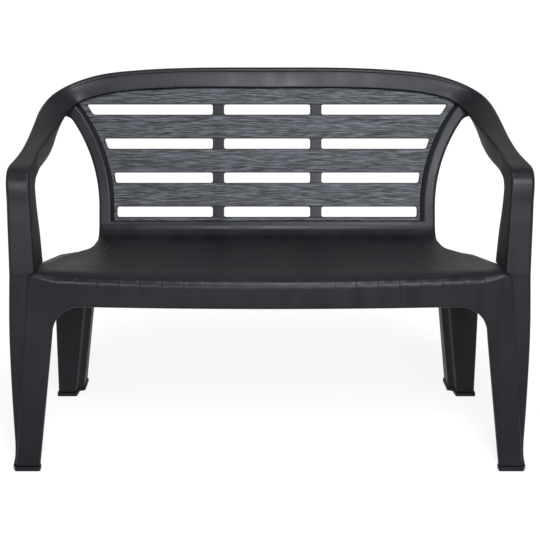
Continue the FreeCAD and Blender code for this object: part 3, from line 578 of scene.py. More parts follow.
upper = bandGrid()
armSide = np.concatenate([upper[:, :faceEnd + 1], legSideGrid()])
railInner = upper[:, faceEnd + band["columns"][3]]
armMesh = gridMesh("arms_and_rail", [mirroredRows(upper[:, faceEnd:]), mirroredRows(armSide)], (0, -1, 1))
addWall(addPiece("arms_and_rail", armMesh, satin, [
    "top_rail", *pairs("shoulder", "armrest", "arm_post", "leg_side")]))
print("arms and rail made")


# Back: directions of its own, up the slope and forward of the slats' face

back = {
    "base": (420, 460), "recline": 11, "proud": 8, "pivot": (790.5, 40.8),
    "bevelStart": 375.5, "bevelEnd": 386, "outer": 412.5, "depth": 26, "round": 5,
    "bandRadius": 38, "bandCentre": (seat["rearLine"], 469), "bevelLow": 4.5, "panelLow": 7,
    "wallFoot": 424.6, "flare": 14, "hidden": 6, "tuck": 22, "railFrom": 200,
    # columns of the face, its bevel and what is beside it, then of the rounded edge and its wall
    "columns": (66, 4, 6), "wallColumns": (4, 6),
}
lean = math.radians(back["recline"])


# A point of the back in the bench's own directions
def slope(x, up, forward):
    x, up, forward = np.broadcast_arrays(np.asarray(x, float), up, forward)
    return np.stack([x, back["base"][0] + up * math.sin(lean) - forward * math.cos(lean),
                     back["base"][1] + up * math.cos(lean) + forward * math.sin(lean)], axis=-1)


def upSlope(points):
    return ((points[..., 2] - back["base"][1]) * math.cos(lean)
            + (points[..., 1] - back["base"][0]) * math.sin(lean))


underRail = np.array(sorted((abs(p[0]), upSlope(p)) for p in railInner if upSlope(p) > back["railFrom"]))


# Height up the slope at which the rail's lower edge hides what is behind it
def railCut(x):
    return np.interp(np.abs(x), underRail[:, 0], underRail[:, 1]) + back["hidden"]


# Seat, lower band and back posts: one skin with common columns

faceHalf = back["outer"] - back["round"]
faceColumns, bevelColumns, edgeColumns = back["columns"]
shares = np.concatenate([
    np.linspace(0, back["bevelStart"], faceColumns, endpoint=False),
    np.linspace(back["bevelStart"], back["bevelEnd"], bevelColumns, endpoint=False),
    np.linspace(back["bevelEnd"], faceHalf, edgeColumns)]) / faceHalf
postColumns = bevelColumns + edgeColumns + sum(back["wallColumns"])


def seatRow(line):
    x = shares * seatEnd(line)[0]
    return asPoints(x, line, seatTop(x, line))


# Rounded edge and the wall behind it, for a row whose face ends at edge
def postWall(edge, inward, wallEnd):
    radius = back["round"]
    centre = edge - (radius, 0, 0) + inward * radius
    arcColumns, flatColumns = back["wallColumns"]
    turns = np.radians(np.linspace(0, 90, arcColumns + 1))[1:]
    arc = [centre + np.array([radius * math.sin(t), 0, 0]) - inward * radius * math.cos(t) for t in turns]
    return np.array(arc + [mix(arc[-1], wallEnd, t) for t in np.linspace(0, 1, flatColumns + 1)[1:]])


# A row of the curved band: point is (back, up) on its face, inward the way into its wall
def bandRow(point, inward, wallEnd):
    face = asPoints(shares * faceHalf, *point)
    edge = np.array([back["outer"], *point])
    return np.concatenate([face, postWall(edge, np.array([0, *inward]), np.array([back["outer"], *wallEnd]))])


# A row of the posts and the panel between them, which is set back behind a bevel
def bevelRow(up):
    x = shares * faceHalf
    low = ramp(back["panelLow"], back["bevelLow"], up)
    side = ramp(back["bevelStart"], back["bevelEnd"], x)
    forward = back["proud"] * np.maximum(low, side)
    face = slope(x, up, forward)
    edge = slope(back["outer"], up, back["proud"])
    wallEnd = slope(back["outer"], up, back["proud"] - back["depth"])
    return np.concatenate([face, postWall(edge, unit(wallEnd - edge), wallEnd)])


# Angle of the bend at which a column of the post is hidden by the rail, or so far above that
def postTop(radius, above=0):
    turns = np.linspace(0, 1, 400)
    x = back["pivot"][0] - radius * np.cos(turns)
    up = back["pivot"][1] + radius * np.sin(turns)
    return turns[np.argmax(up >= railCut(x) + above)]


# The right post from the panel's lower edge up, bent round its pivot and widened just under the rail
def postGrid():
    row = bevelRow(back["panelLow"])[-postColumns:]
    radii = back["pivot"][0] - row[:, 0]
    forward = -(row[:, 1] - back["base"][0]) * math.cos(lean) + (row[:, 2] - back["base"][1]) * math.sin(lean)
    shown = np.array([postTop(r) for r in radii])
    ends = np.array([postTop(r, back["tuck"]) for r in radii])
    straight = [slope(back["pivot"][0] - radii, up, forward)
                for up in np.linspace(back["panelLow"], back["pivot"][1], 8, endpoint=False)]
    weight = ramp(back["bevelEnd"], back["outer"], row[:, 0])
    bent = []
    for t in np.linspace(0, 1, 90):
        below = np.clip((shown - t * ends) * radii - back["hidden"], 0, back["flare"])
        widen = back["flare"] - np.sqrt(back["flare"] ** 2 - (back["flare"] - below) ** 2)
        x = back["pivot"][0] - radii * np.cos(ends * t) + widen * weight
        bent.append(slope(x, back["pivot"][1] + radii * np.sin(ends * t), forward))
    return np.array(straight + bent)


# Half width and height of the shoulder's edge, and the height of the skirt's lower edge
def shoulderEdge(line):
    share = ramp(seat["skirtFront"], seat["skirtRear"], line)
    side = mix(seat["sideFront"], seat["sideRear"], share)
    shoulder = mix(seat["shoulderFront"], seat["shoulderRear"], share)
    return side, shoulder, seat["skirtLow"] + 4 * seat["skirtArch"] * share * (1 - share)


# Foot of the shoulder behind the seat and its height, the knee above it and the top of its wall
def shoulderFoot(line):
    table = np.array(seat["behind"], float)
    return [np.interp(line, table[:, 0], table[:, i]) for i in range(1, 5)]


# The rolled end of the seat, its shoulder and the side skirt at one line
def skirtRow(line, start):
    side, shoulder, low = shoulderEdge(line)
    _, roll, foot, footUp, first, second = seatEnd(line)
    top = start[2] + seatTop(roll, line) - seatTop(start[0], line)
    corners = [(start[0], start[2]), (roll, top), (foot, footUp), (side, shoulder), (side, low)]
    flat = roundedPath(corners, [first, second, seat["bend"]], [2, 8, 3, *seat["shoulderPoints"]])
    return asPoints(flat[:, 0], line, flat[:, 1])


# Behind the seat, from the post's wall down
def rearSkirtRow(line):
    side, shoulder, low = shoulderEdge(line)
    foot, footUp, knee, top = shoulderFoot(line)
    corners = [(back["outer"], knee), (foot, footUp), (side, shoulder), (side, low)]
    radius = seat["ends"][-1][-1] - seat["footShrink"] * ease(seat["rearLine"], seat["behind"][1][0], line)
    flat = roundedPath(corners, [radius, seat["bend"]], [4, *seat["shoulderPoints"]])
    flat = np.concatenate([[(back["outer"], top)], flat])
    return asPoints(flat[:, 0], line, flat[:, 1])


seatLines = np.concatenate([np.linspace(seat["frontLine"], seat["skirtFront"], 10, endpoint=False),
                            np.linspace(seat["skirtFront"], seat["rearLine"], 48)])


# The curved band from the seat's rear line up to the panel
def bandFaceGrid():
    centre, radius = np.array(back["bandCentre"]), back["bandRadius"]
    top = slope(0, back["bevelLow"], back["proud"] - back["depth"])[1:]
    foot = back["wallFoot"]
    corner = top[0] - (top[1] - foot) * math.tan(lean)
    path = roundedPath([(seat["rearLine"], foot), (corner, foot), tuple(top)], [1], [30, 2, 30])
    turns = np.radians(np.linspace(-90, -back["recline"], 24))
    rows = []
    for i, t in enumerate(turns):
        out = np.array([math.cos(t), math.sin(t)])
        spot = path[int(i / len(turns) * (len(path) - 1))]
        rows.append(bandRow(centre + radius * out, out, spot))
    rows += [bevelRow(up) for up in np.linspace(back["bevelLow"], back["panelLow"], 4)]
    return np.array(rows)


seatGrid = np.array([seatRow(line) for line in seatLines])
bandedGrid = bandFaceGrid()
posts = postGrid()
count = len(shares)


# Front: apron, arched corners and legs, a ribbon between an inner and an outer edge

front = {
    "lowerEdge": 368, "lowerBelly": 3, "arch": 65, "cornerRound": 22, "roll": 22,
    "edge": 5, "lip": 14, "apronLip": 7, "behindPost": 32, "flute": 0.3, "flutePitch": 46,
    # heights over which the belly and the rise of the top fade in, and below which the lip is wide
    "bellyUp": (250, 350), "riseUp": (330, 420), "lipUp": (300, 360),
    # dense points of the inner and of the outer edge: straight, corner, leg
    "innerPoints": (300, 60, 200), "outerPoints": (400, 40, 300),
    # the edges keep pace up to here, and then at the arch's end, given by heights of the leg's edges
    "evenTo": 380, "legFrom": 400, "archEnd": (285, 330),
    # where the roll ends, from the end of the seat, columns of the leg, and where the arm post begins
    "rollEnd": (-45, 25), "legColumns": 96, "postUp": 438,
    # share of the roll's height that the seat's next rows take
    "blend": (0.6, 0.25),
}


# Dense inner and outer edges in the front view, from the middle of the bench to the foot
def frontEdges():
    low, top = front["lowerEdge"], seat["frontUp"]
    side = legInner(low + front["lowerBelly"])
    inner = roundedPath([(0, low), (side, low), (legInner(leg["foot"]), leg["foot"])],
                        [front["arch"]], front["innerPoints"])
    inner[:, 1] += front["lowerBelly"] * (inner[:, 0] / side) ** 2 * ease(*front["bellyUp"], inner[:, 1])
    outer = roundedPath([(0, top), (crease(top), top), (crease(leg["foot"]), leg["foot"])],
                        [front["cornerRound"]], front["outerPoints"])
    outer[:, 1] += rise(outer[:, 0]) * ease(*front["riseUp"], outer[:, 1])
    return inner, outer


# Outward normals of an edge path that runs from the middle to the right foot
def edgeNormals(path, at):
    ahead, behind = along(path, np.minimum(at + 1, lengths(path)[-1])), along(path, np.maximum(at - 1, 0))
    run = unit(ahead - behind)
    return np.stack([-run[:, 1], run[:, 0]], axis=-1)


# Points from the inner edge's lip over the face and the roll to the seat, or back beside the leg.
# past is 0 along the seat and 1 down the leg
def frontSection(innerEdge, innerOut, outerEdge, outerOut, at, past, onSeat):
    edge, (low, high) = front["edge"], front["lipUp"]
    roll = mix(front["roll"], edge, past)
    lip = mix(front["apronLip"], front["lip"], ramp(high, low, innerEdge[1]))
    start, finish = innerEdge - innerOut * edge, outerEdge - outerOut * roll
    startFace, finishFace = frontFace(*start), frontFace(*finish)
    points = [(*innerEdge, startFace + mix(edge, lip, t)) for t in np.linspace(1, 0, 4)[:-1]]
    for turn in np.radians(np.linspace(90, 0, 6))[:-1]:
        shift = start + innerOut * edge * math.sin(turn)
        points.append((*shift, startFace + edge * (1 - math.cos(turn))))
    for t in np.linspace(0, 1, 22)[:-1]:
        spot = mix(start, finish, t)
        points.append((*spot, frontFace(*spot)))
    ripple = front["flute"] * math.sin(2 * math.pi * at / front["flutePitch"]) * (1 - past)
    for turn in np.radians(np.linspace(0, 90, 11)):
        radius = roll + ripple * math.sin(2 * turn)
        shift = finish + outerOut * radius * math.sin(turn)
        points.append((*shift, finishFace + roll - radius * math.cos(turn)))
    if onSeat:
        end = seat["frontLine"]
    elif outerEdge[1] < front["postUp"]:
        end = finishFace + leg["step"] + moulding["wall"]
    else:
        end = front["behindPost"]
    for t in np.linspace(0, 1, 5)[1:]:
        points.append((*outerEdge, mix(finishFace + roll, max(end, finishFace + roll), t)))
    return [(x, line, up) for x, up, line in points]


# Its first rows stand where the seat has its columns. Gives the grid and their number
def frontGrid():
    inner, outer = frontEdges()
    innerReach, outerReach = lengths(inner), lengths(outer)
    topX = shares * seatEnd(seat["frontLine"])[0]
    corner = int(np.argmax(outer[:, 0] > topX[-1] + 1))
    topAt = np.interp(topX, outer[:corner + 1, 0], outerReach[:corner + 1])
    outerAt = np.concatenate([topAt, np.linspace(topAt[-1], outerReach[-1], front["legColumns"])[1:]])
    innerLow, outerLow = (int(np.argmax((edge[:, 1] < up) & (edge[:, 0] > front["legFrom"])))
                          for edge, up in zip((inner, outer), front["archEnd"]))
    straight, arc, _ = front["innerPoints"]
    anchors = [(0, 0), (front["evenTo"], front["evenTo"]), (topAt[-1], innerReach[straight + arc // 2]),
               (outerReach[outerLow], innerReach[innerLow]), (outerReach[-1], innerReach[-1])]
    innerAt = np.interp(outerAt, *zip(*anchors))
    past = ease(topAt[-1] + front["rollEnd"][0], topAt[-1] + front["rollEnd"][1], outerAt)
    sections = zip(along(inner, innerAt), -edgeNormals(inner, innerAt), along(outer, outerAt),
                   edgeNormals(outer, outerAt), outerAt, past, np.arange(len(outerAt)) < len(topAt))
    return np.array([frontSection(*section) for section in sections]), len(topAt)


frontPart, topCount = frontGrid()
seatGrid[0] = frontPart[:topCount, -1]
for row, share in enumerate(front["blend"], 1):
    seatGrid[row][:, 2] = mix(seatGrid[row][:, 2], frontPart[:topCount, -1, 2], share)

skirt = np.array([skirtRow(line, row[-1]) for line, row in zip(seatLines, seatGrid)])
seatGrid[-1] = bandedGrid[0][:count]
skirt[-1][0] = seatGrid[-1][-1]
rearSkirt = np.array([rearSkirtRow(line) for line in np.linspace(seat["rearLine"], seat["skirtRear"], 30)])
seatColumns = np.swapaxes(seatGrid, 0, 1)
bandColumns = np.swapaxes(bandedGrid[:, :count], 0, 1)
bodyMesh = gridMesh("seat_and_frame", [
    mirroredRows(frontPart), mirroredRows(seatColumns), mirroredRows(bandColumns),
    *bothSides(bandedGrid[:, count - 1:]), *bothSides(posts), *bothSides(skirt), *bothSides(rearSkirt)],
    (0, -1, 1))


flow = {
    # beside the seat's ends: pitch, how much it narrows at the front and over which lines, how near the
    # seat a point lies, then the lines and the ways from the end over which they fade in and out
    "seatPitch": 30, "narrows": 0.7, "narrowLines": (60, 150), "near": 1.5,
    "seatIn": (60, 75), "seatOut": (290, 360), "endIn": (-2, 4), "endOut": (70, 110),
    # over the front roll: pitch, then the heights, lines and places across
    "rollPitch": 46, "upIn": (385, 425), "lineOut": (8, 16), "acrossIn": (60, 320), "acrossOut": (450, 480),
}


# Numbers the flow lines, which run beside the seat's ends and over the front roll
def addFlowLines(mesh):
    numbers, present = [], []
    for vertex in mesh.vertices:
        x, line, up = inMillimetres(vertex.co)
        x = abs(x)
        if seat["frontLine"] < line < seat["rearLine"] and abs(up - seatTop(x, line)) < flow["near"]:
            away = float(seatEnd(line)[0]) - x
            narrowed = 1 + flow["narrows"] * (1 - ease(*flow["narrowLines"], line))
            numbers.append(away * narrowed / flow["seatPitch"])
            present.append(ease(*flow["seatIn"], line) * (1 - ease(*flow["seatOut"], line))
                           * ease(*flow["endIn"], away) * (1 - ease(*flow["endOut"], away)))
        else:
            numbers.append(x / flow["rollPitch"])
            present.append(ease(*flow["upIn"], up) * (1 - ease(*flow["lineOut"], line))
                           * ease(*flow["acrossIn"], x) * (1 - ease(*flow["acrossOut"], x)))
    addNumbers(mesh, "flowLine", numbers)
    addNumbers(mesh, "flowShare", present)


addFlowLines(bodyMesh)
addWall(addPiece("seat_and_frame", bodyMesh, satin, [
    "front_apron", "seat_panel", "lower_back_band",
    *pairs("apron_corner", "front_leg", "side_skirt", "back_post")]))
print("seat, front and posts made")


# Slats: grained sheets with rounded slots, folded back along the slots

slats = {
    "wall": 3, "fold": 9, "rows": 4, "first": 15.8, "height": 25, "pitch": 83.9, "corner": 5,
    "endHalf": 368.5, "endRadius": 460, "edgeRadius": 414, "bendTo": 400, "low": 6.4, "high": 345,
    # rounding of the slots' edges, and how far it has gone in at its middle, as a share of its radius
    "soften": 0.9, "halfRound": 0.29,
    # cells of the sheet, how much longer they are than high, and how many of them a slot's edge may move
    "cell": 1.35, "cellStretch": 1.15, "snap": 2.5,
    # height of the grain, its valleys and crests as shares of that, and the bare margin round a slot
    "grain": 0.45, "relief": (-0.3, 0.7), "margin": 2.5,
}


# Height above the pivot round which the ends bend
def overPivot(up):
    return np.clip(np.asarray(up, float) - back["pivot"][1], 0, slats["bendTo"])


def slatEnd(up):
    return slats["endHalf"] + slats["endRadius"] - np.sqrt(slats["endRadius"] ** 2 - overPivot(up) ** 2)


def sheetEnd(up):
    return back["pivot"][0] - np.sqrt(slats["edgeRadius"] ** 2 - overPivot(up) ** 2)


# Distance to the nearest row of slots, negative inside it
def slotDistance(x, up):
    best = np.full(np.shape(x), 1e3)
    for row in range(slats["rows"]):
        low = slats["first"] + row * slats["pitch"]
        over = np.maximum(low - up, up - low - slats["height"]) + slats["corner"]
        tilt = overPivot(up) / slats["endRadius"]
        aside = (np.abs(x) - slatEnd(up)) * np.sqrt(1 - tilt ** 2) + slats["corner"]
        inside = np.minimum(np.maximum(over, aside), 0)
        outside = np.hypot(np.maximum(over, 0), np.maximum(aside, 0))
        best = np.minimum(best, inside + outside - slats["corner"])
    return best


# The way out of the nearest slot
def slotGradient(x, up):
    step = 0.01
    return unit(np.stack([slotDistance(x + step, up) - slotDistance(x - step, up),
                          slotDistance(x, up + step) - slotDistance(x, up - step)], axis=-1) + 1e-12)


# The grained face of a slat with its margins, and the folds along its slots
def slatSheet(name, low, high):
    soften = slats["soften"]
    rows = max(int((high - low) / slats["cell"]), 2)
    columns = int(2 * sheetEnd((low + high) / 2) / slats["cell"] / slats["cellStretch"])
    up, across = np.meshgrid(np.linspace(low, high, rows + 1), np.linspace(-1, 1, columns + 1), indexing="ij")
    x, up = (across * sheetEnd(up)).ravel(), up.ravel()
    quads = gridFaces(rows + 1, columns + 1)
    middleX, middleUp = x[quads].mean(1), up[quads].mean(1)
    quads = quads[(slotDistance(middleX, middleUp) > soften) & (middleUp < railCut(middleX))]

    # the edges along the slots, whose points move to where the rounding begins
    edges = np.sort(quads[:, [0, 1, 1, 2, 2, 3, 3, 0]].reshape(-1, 2), axis=1)
    edges, counts = np.unique(edges, axis=0, return_counts=True)
    rim = edges[counts == 1]
    distance = slotDistance(x, up)
    onSlot = np.abs(distance) < slats["snap"] * slats["cell"]
    onLimit = (np.abs(up - low) < 1e-6) | (np.abs(up - high) < 1e-6)
    rim = rim[onSlot[rim].all(1) & ~onLimit[rim].all(1)]
    snapped = np.unique(rim)
    away = slotGradient(x[snapped], up[snapped])
    moved = np.column_stack([x[snapped], up[snapped]]) + away * (soften - distance[snapped])[:, None]
    x[snapped] = moved[:, 0]
    up[snapped] = np.where(onLimit[snapped], up[snapped], moved[:, 1])

    used = np.unique(quads)
    renumber = -np.ones(x.size, int)
    renumber[used] = np.arange(len(used))
    faces = renumber[quads].tolist()
    points = [slope(x[used], up[used], 0)]
    masks = [np.clip((slotDistance(x, up)[used] - soften) / slats["margin"], 0, 1)]

    # rows of the fold: what is left of the rounding at each, and its depth
    halfway = slats["halfRound"] * soften
    steps = [(halfway, halfway), (0, soften), *[(0, mix(soften, slats["fold"], t)) for t in (0.5, 1)]]
    first, second = np.searchsorted(snapped, rim).T
    last = renumber[snapped]
    for number, (left, depth) in enumerate(steps):
        spot = np.column_stack([x[snapped], up[snapped]]) - away * (soften - left)
        points.append(slope(spot[:, 0], spot[:, 1], -depth))
        masks.append(np.zeros(len(snapped)))
        fresh = len(used) + number * len(snapped) + np.arange(len(snapped))
        faces += np.column_stack([last[first], last[second], fresh[second], fresh[first]]).tolist()
        last = fresh

    mesh = bpy.data.meshes.new(name)
    mesh.from_pydata(inMetres(np.concatenate(points)).tolist(), [], faces)
    addNumbers(mesh, "grain", np.concatenate(masks))
    work = bmesh.new()
    work.from_mesh(mesh)
    turnFaces(work, (0, -1, 0))
    work.to_mesh(mesh)
    work.free()
    mesh.shade_smooth()
    return mesh


# A geometry tree with its inputs, given as name and kind
def newTree(name, inputs):
    tree = bpy.data.node_groups.new(name, "GeometryNodeTree")
    for key, kind in (("Geometry", "Geometry"), *inputs, ("Material", "Material")):
        tree.interface.new_socket(key, in_out="INPUT", socket_type=f"NodeSocket{kind}")
    tree.interface.new_socket("Geometry", in_out="OUTPUT", socket_type="NodeSocketGeometry")
    return tree, tree.nodes.new("NodeGroupInput").outputs


# Its end: instances made real, and the material set
def endTree(tree, geometry, material):
    real = addNode(tree, "GeometryNodeRealizeInstances", {"Geometry": geometry})
    painted = addNode(tree, "GeometryNodeSetMaterial", {
        "Geometry": real.outputs["Geometry"], "Material": material})
    addNode(tree, "NodeGroupOutput", {"Geometry": painted.outputs["Geometry"]})
    return tree


# Raises the moulded grain: long fibres that stand proud of the slat's face, and valleys between them
def grainTree():
    tree, given = newTree("moulded_grain", [("Height", "Float"), ("Fibre", "Float"), ("Seed", "Float")])
    place = addNode(tree, "GeometryNodeInputPosition").outputs["Position"]
    stretch = addNode(tree, "ShaderNodeVectorMath", {
        0: place, 1: (plastic["fibreStretch"], 1, 1)}, operation="MULTIPLY")
    scale = addNode(tree, "ShaderNodeMath", {0: 1.0, 1: given["Fibre"]}, operation="DIVIDE")
    fibre = addNode(tree, "ShaderNodeTexNoise", {
        "Vector": stretch.outputs["Vector"], "W": given["Seed"], "Scale": scale.outputs["Value"],
        "Detail": plastic["fibreDetail"], "Roughness": plastic["fibreRoughness"]}, noise_dimensions="4D")
    spread = addNode(tree, "ShaderNodeMapRange", {
        "Value": fibre.outputs["Fac"], "From Min": plastic["fleck"][0], "From Max": plastic["fleck"][1],
        "To Min": slats["relief"][0], "To Max": slats["relief"][1]})
    mask = addNode(tree, "GeometryNodeInputNamedAttribute", {"Name": "grain"}, data_type="FLOAT")
    raised = addNode(tree, "ShaderNodeMath", {
        0: spread.outputs["Result"], 1: given["Height"]}, operation="MULTIPLY")
    masked = addNode(tree, "ShaderNodeMath", {
        0: raised.outputs["Value"], 1: mask.outputs["Attribute"]}, operation="MULTIPLY")
    normal = addNode(tree, "GeometryNodeInputNormal").outputs["Normal"]
    offset = addNode(tree, "ShaderNodeVectorMath", {
        0: normal, "Scale": masked.outputs["Value"]}, operation="SCALE")
    moved = addNode(tree, "GeometryNodeSetPosition", {
        "Geometry": given["Geometry"], "Offset": offset.outputs["Vector"]})
    return endTree(tree, moved.outputs["Geometry"], given["Material"])


# The mesh that a node tree makes of this mesh, as plain geometry
def throughNodes(mesh, tree, values):
    carrier = addObject("carrier", mesh)
    modifier = carrier.modifiers.new("nodes", "NODES")
    modifier.node_group = tree
    names = {item.name: item.identifier for item in tree.interface.items_tree if item.in_out == "INPUT"}
    for name, value in values.items():
        modifier[names[name]] = value
    bpy.context.view_layer.update()
    made = bpy.data.meshes.new_from_object(carrier.evaluated_get(bpy.context.evaluated_depsgraph_get()))
    bpy.data.objects.remove(carrier)
    made.name = mesh.name
    return made


grainNodes = grainTree()
slatNames = ("bottom_slat", "lower_slat", "middle_slat", "upper_slat", "top_slat")
middles = [slats["first"] + slats["height"] / 2 + row * slats["pitch"] for row in range(slats["rows"])]
limits = [slats["low"], *middles, slats["high"]]
for name, low, high in zip(slatNames, limits, limits[1:]):
    slatMesh = throughNodes(slatSheet(name, low, high), grainNodes, {
        "Height": slats["grain"] / 1000, "Fibre": plastic["fibre"] / 1000,
        "Seed": float(plastic["fibreSeed"]), "Material": grained})
    thicken(addPiece(f"{name}_face", slatMesh, grained, [name]), slats["wall"])
print("slats made")


# Ties between the slats and ribs under the seat: plates repeated in a row

ties = {
    "side": 119.7, "width": 28, "wall": 3, "edge": 1.8,
    "rib": 3, "ribFront": 2.5, "ribBehind": 17, "low": 7, "high": 350,
}
ribs = {
    "wall": 3, "low": 398.5, "rise": 12, "lap": 0.5, "edge": 0.4,
    "pitch": 100, "count": 8, "lines": (150, 262),
}


def rowTree():
    tree, given = newTree("row_of_plates", [("Count", "Int"), ("Step", "Vector")])
    line = addNode(tree, "GeometryNodeMeshLine", {
        "Count": given["Count"], "Offset": given["Step"]}, mode="OFFSET")
    placed = addNode(tree, "GeometryNodeInstanceOnPoints", {
        "Points": line.outputs["Mesh"], "Instance": given["Geometry"]})
    return endTree(tree, placed.outputs["Instances"], given["Material"])


def joined(name, meshes):
    work = bmesh.new()
    for mesh in meshes:
        work.from_mesh(mesh)
    whole = bpy.data.meshes.new(name)
    work.to_mesh(whole)
    work.free()
    smooth(whole)
    return whole


# The lowest tie, wider where it meets the slats, its front edges softened
def tieGrid(middle):
    corner, low = slats["corner"], slats["first"]
    rows = []
    for share in np.concatenate([np.linspace(0, 0.2, 7), np.linspace(0.25, 0.75, 5), np.linspace(0.8, 1, 7)]):
        over = max(corner - slats["height"] * min(share, 1 - share), 0)
        half = ties["width"] / 2 + corner - math.sqrt(corner ** 2 - over ** 2)
        outline = [(-half, -ties["wall"]), (-half, 0), (half, 0), (half, -ties["wall"])]
        flat = roundedPath(outline, [ties["edge"]] * 2, [2, 5, 8, 5, 3])
        flat = np.concatenate([flat, flat[:1]])
        rows.append(slope(middle + flat[:, 0], low + slats["height"] * share, flat[:, 1]))
    return np.array(rows)


# A bar through several sections, each given by its corners
def bar(sections):
    return np.array([np.concatenate([section, section[:1]]) for section in sections])


def mullionRib(middle):
    half = ties["rib"] / 2
    x = middle + np.array([-half, half, half, -half])
    forward = -np.array([ties["ribFront"], ties["ribFront"], ties["ribBehind"], ties["ribBehind"]])
    return bar([slope(x, up, forward) for up in np.linspace(ties["low"], ties["high"], 9)])


# A rib under the seat through these points on plan, as thick as across says
def seatRib(points, across):
    low, high = np.array((0, 0, ribs["low"])), np.array((0, 0, ribs["low"] + ribs["rise"]))
    section = np.array([low, low + across, high + across, high])
    return gridMesh("rib", [bar([section + (*point, 0) for point in points])])


def crossRib(x):
    lines = np.linspace(seat["frontLine"] + moulding["wall"], seat["rearLine"], 30)
    return seatRib([(x - ribs["wall"] / 2, line) for line in lines], (ribs["wall"], 0, 0))


def longRib(line):
    reach = seatEnd(line)[0]
    return seatRib([(x, line) for x in np.linspace(-reach, reach, 61)], (0, ribs["wall"], 0))


# Brings the upper edges of the ribs up to the seat's underside
def raiseRibs(mesh):
    for vertex in mesh.vertices:
        x, line, up = inMillimetres(vertex.co)
        if up > ribs["low"] + 1:
            vertex.co[2] = (float(seatTop(x, line)) - moulding["wall"] + ribs["lap"]) / 1000


plates = rowTree()
slotStep = (slope(0, slats["pitch"], 0) - slope(0, 0, 0)) / 1000
for side, middle in (("right", ties["side"]), ("left", -ties["side"])):
    row = throughNodes(gridMesh("tie", [tieGrid(middle)]), plates, {
        "Count": slats["rows"], "Step": list(slotStep), "Material": satin})
    name = f"{side}_mullion_moulding"
    addPiece(name, joined(name, [row, gridMesh("spine", [mullionRib(middle)])]), satin, [f"{side}_mullion"])

firstRib = crossRib(-ribs["pitch"] * (ribs["count"] - 1) / 2)
row = throughNodes(firstRib, plates, {
    "Count": ribs["count"], "Step": [ribs["pitch"] / 1000, 0, 0], "Material": satin})
lattice = joined("seat_ribs_moulding", [row, *[longRib(line) for line in ribs["lines"]]])
raiseRibs(lattice)
softenEdges(addPiece("seat_ribs_moulding", lattice, satin, ["seat_ribs"]), ribs["edge"])
print("ties and ribs made")


# Rear legs and the skirt between them

rear = {
    "foot": 9, "top": 440, "webLow": 450, "webHigh": 397, "depthLow": 107, "depthHigh": 74,
    "sideLow": 531, "sideHigh": 525.8, "cornerLow": 487, "cornerHigh": 430, "innerLow": 471, "innerHigh": 413,
    "step": 34, "stepRun": 6, "stepTaper": 3, "round": 5, "legTop": 438,
    "skirtLow": 352, "skirtTop": 438.5, "skirtHalf": 486, "skirtLine": 403,
    # how far below its face the shoulder is met, and how far its slope runs on inside the post
    "below": 3, "inside": 0.2,
}


# Underside of the shoulder behind the seat, which the rear legs and the rear skirt meet from below
def shoulderUp(x, line):
    side, shoulder, _ = shoulderEdge(line)
    foot, footUp, knee, _ = shoulderFoot(line)
    share = (x - back["outer"]) / np.maximum(foot - back["outer"], 1)
    inside = mix(knee, footUp, np.clip(share, -rear["inside"], 1))
    outside = mix(footUp, shoulder, ramp(foot, side, x))
    return np.where(x < foot, inside, outside) - rear["below"]


def rearShare(up):
    return (up - rear["foot"]) / (rear["top"] - rear["foot"])


def rearLegSection(up):
    names = ("web", "depth", "side", "corner", "inner")
    web, depth, side, corner, inner = (
        mix(rear[f"{name}Low"], rear[f"{name}High"], rearShare(up)) for name in names)
    step = web + rear["step"]
    corners = [(inner, web + depth), (inner, step + rear["stepRun"]), (corner - rear["stepTaper"], step),
               (corner, web), (side, web), (side, web + depth)]
    flat = roundedPath(corners, [rear["round"]] * 4, [8, 5, 4, 5, 6, 5, 10, 5, 14])
    return asPoints(*flat.T, up)


# Each column ends where it meets the shoulder
def rearLegGrid():
    columns = []
    for low, high in zip(rearLegSection(rear["foot"]), rearLegSection(rear["top"])):
        line = mix(low, high, np.linspace(0, 1, 900)[:, None])
        tops = np.minimum(shoulderUp(line[:, 0], line[:, 1]), rear["legTop"])
        end = line[int(np.argmax(line[:, 2] >= tops))]
        columns.append(np.array([mix(low, end, t) for t in np.linspace(0, 1, 60)]))
    return np.swapaxes(np.array(columns), 0, 1)


def rearSkirtGrid():
    rows = []
    for x in np.linspace(0, rear["skirtHalf"], 90):
        top = rear["skirtTop"] if x < back["outer"] else float(shoulderUp(x, rear["skirtLine"]))
        ups = np.linspace(rear["skirtLow"], top, 16)
        lines = mix(rear["webLow"], rear["webHigh"], rearShare(ups)) + moulding["wall"]
        rows.append(asPoints(x, lines, ups))
    return mirroredRows(np.array(rows))


for side, grid in zip(("right", "left"), bothSides(rearLegGrid())):
    name = f"{side}_rear_leg_moulding"
    addWall(addPiece(name, gridMesh(name, [grid], (0, -1, 0)), satin, [f"{side}_rear_leg"]))
skirtMesh = gridMesh("rear_skirt_moulding", [rearSkirtGrid()], (0, 1, 0))
addWall(addPiece("rear_skirt_moulding", skirtMesh, satin, ["rear_skirt"]))


# Feet, which follow the CAD shape: its triangles are merged and its edges rounded

feet = {"weld": 0.01, "flatAngle": 1, "sharpAngle": 35, "edge": 0.5}


def addFoot(node):
    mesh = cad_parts[node].data.copy()
    mesh.name = f"{node}_moulding"
    work = bmesh.new()
    work.from_mesh(mesh)
    bmesh.ops.remove_doubles(work, verts=work.verts, dist=feet["weld"] / 1000)
    bmesh.ops.dissolve_limit(work, angle_limit=math.radians(feet["flatAngle"]),
                             verts=work.verts, edges=work.edges)
    work.to_mesh(mesh)
    work.free()
    smooth(mesh, feet["sharpAngle"])
    softenEdges(addPiece(f"{node}_moulding", mesh, satin, [node]), feet["edge"])


for node in ("front_left_foot", "front_right_foot", "rear_left_foot", "rear_right_foot"):
    addFoot(node)
print("legs and feet made")


# Floor, light and camera

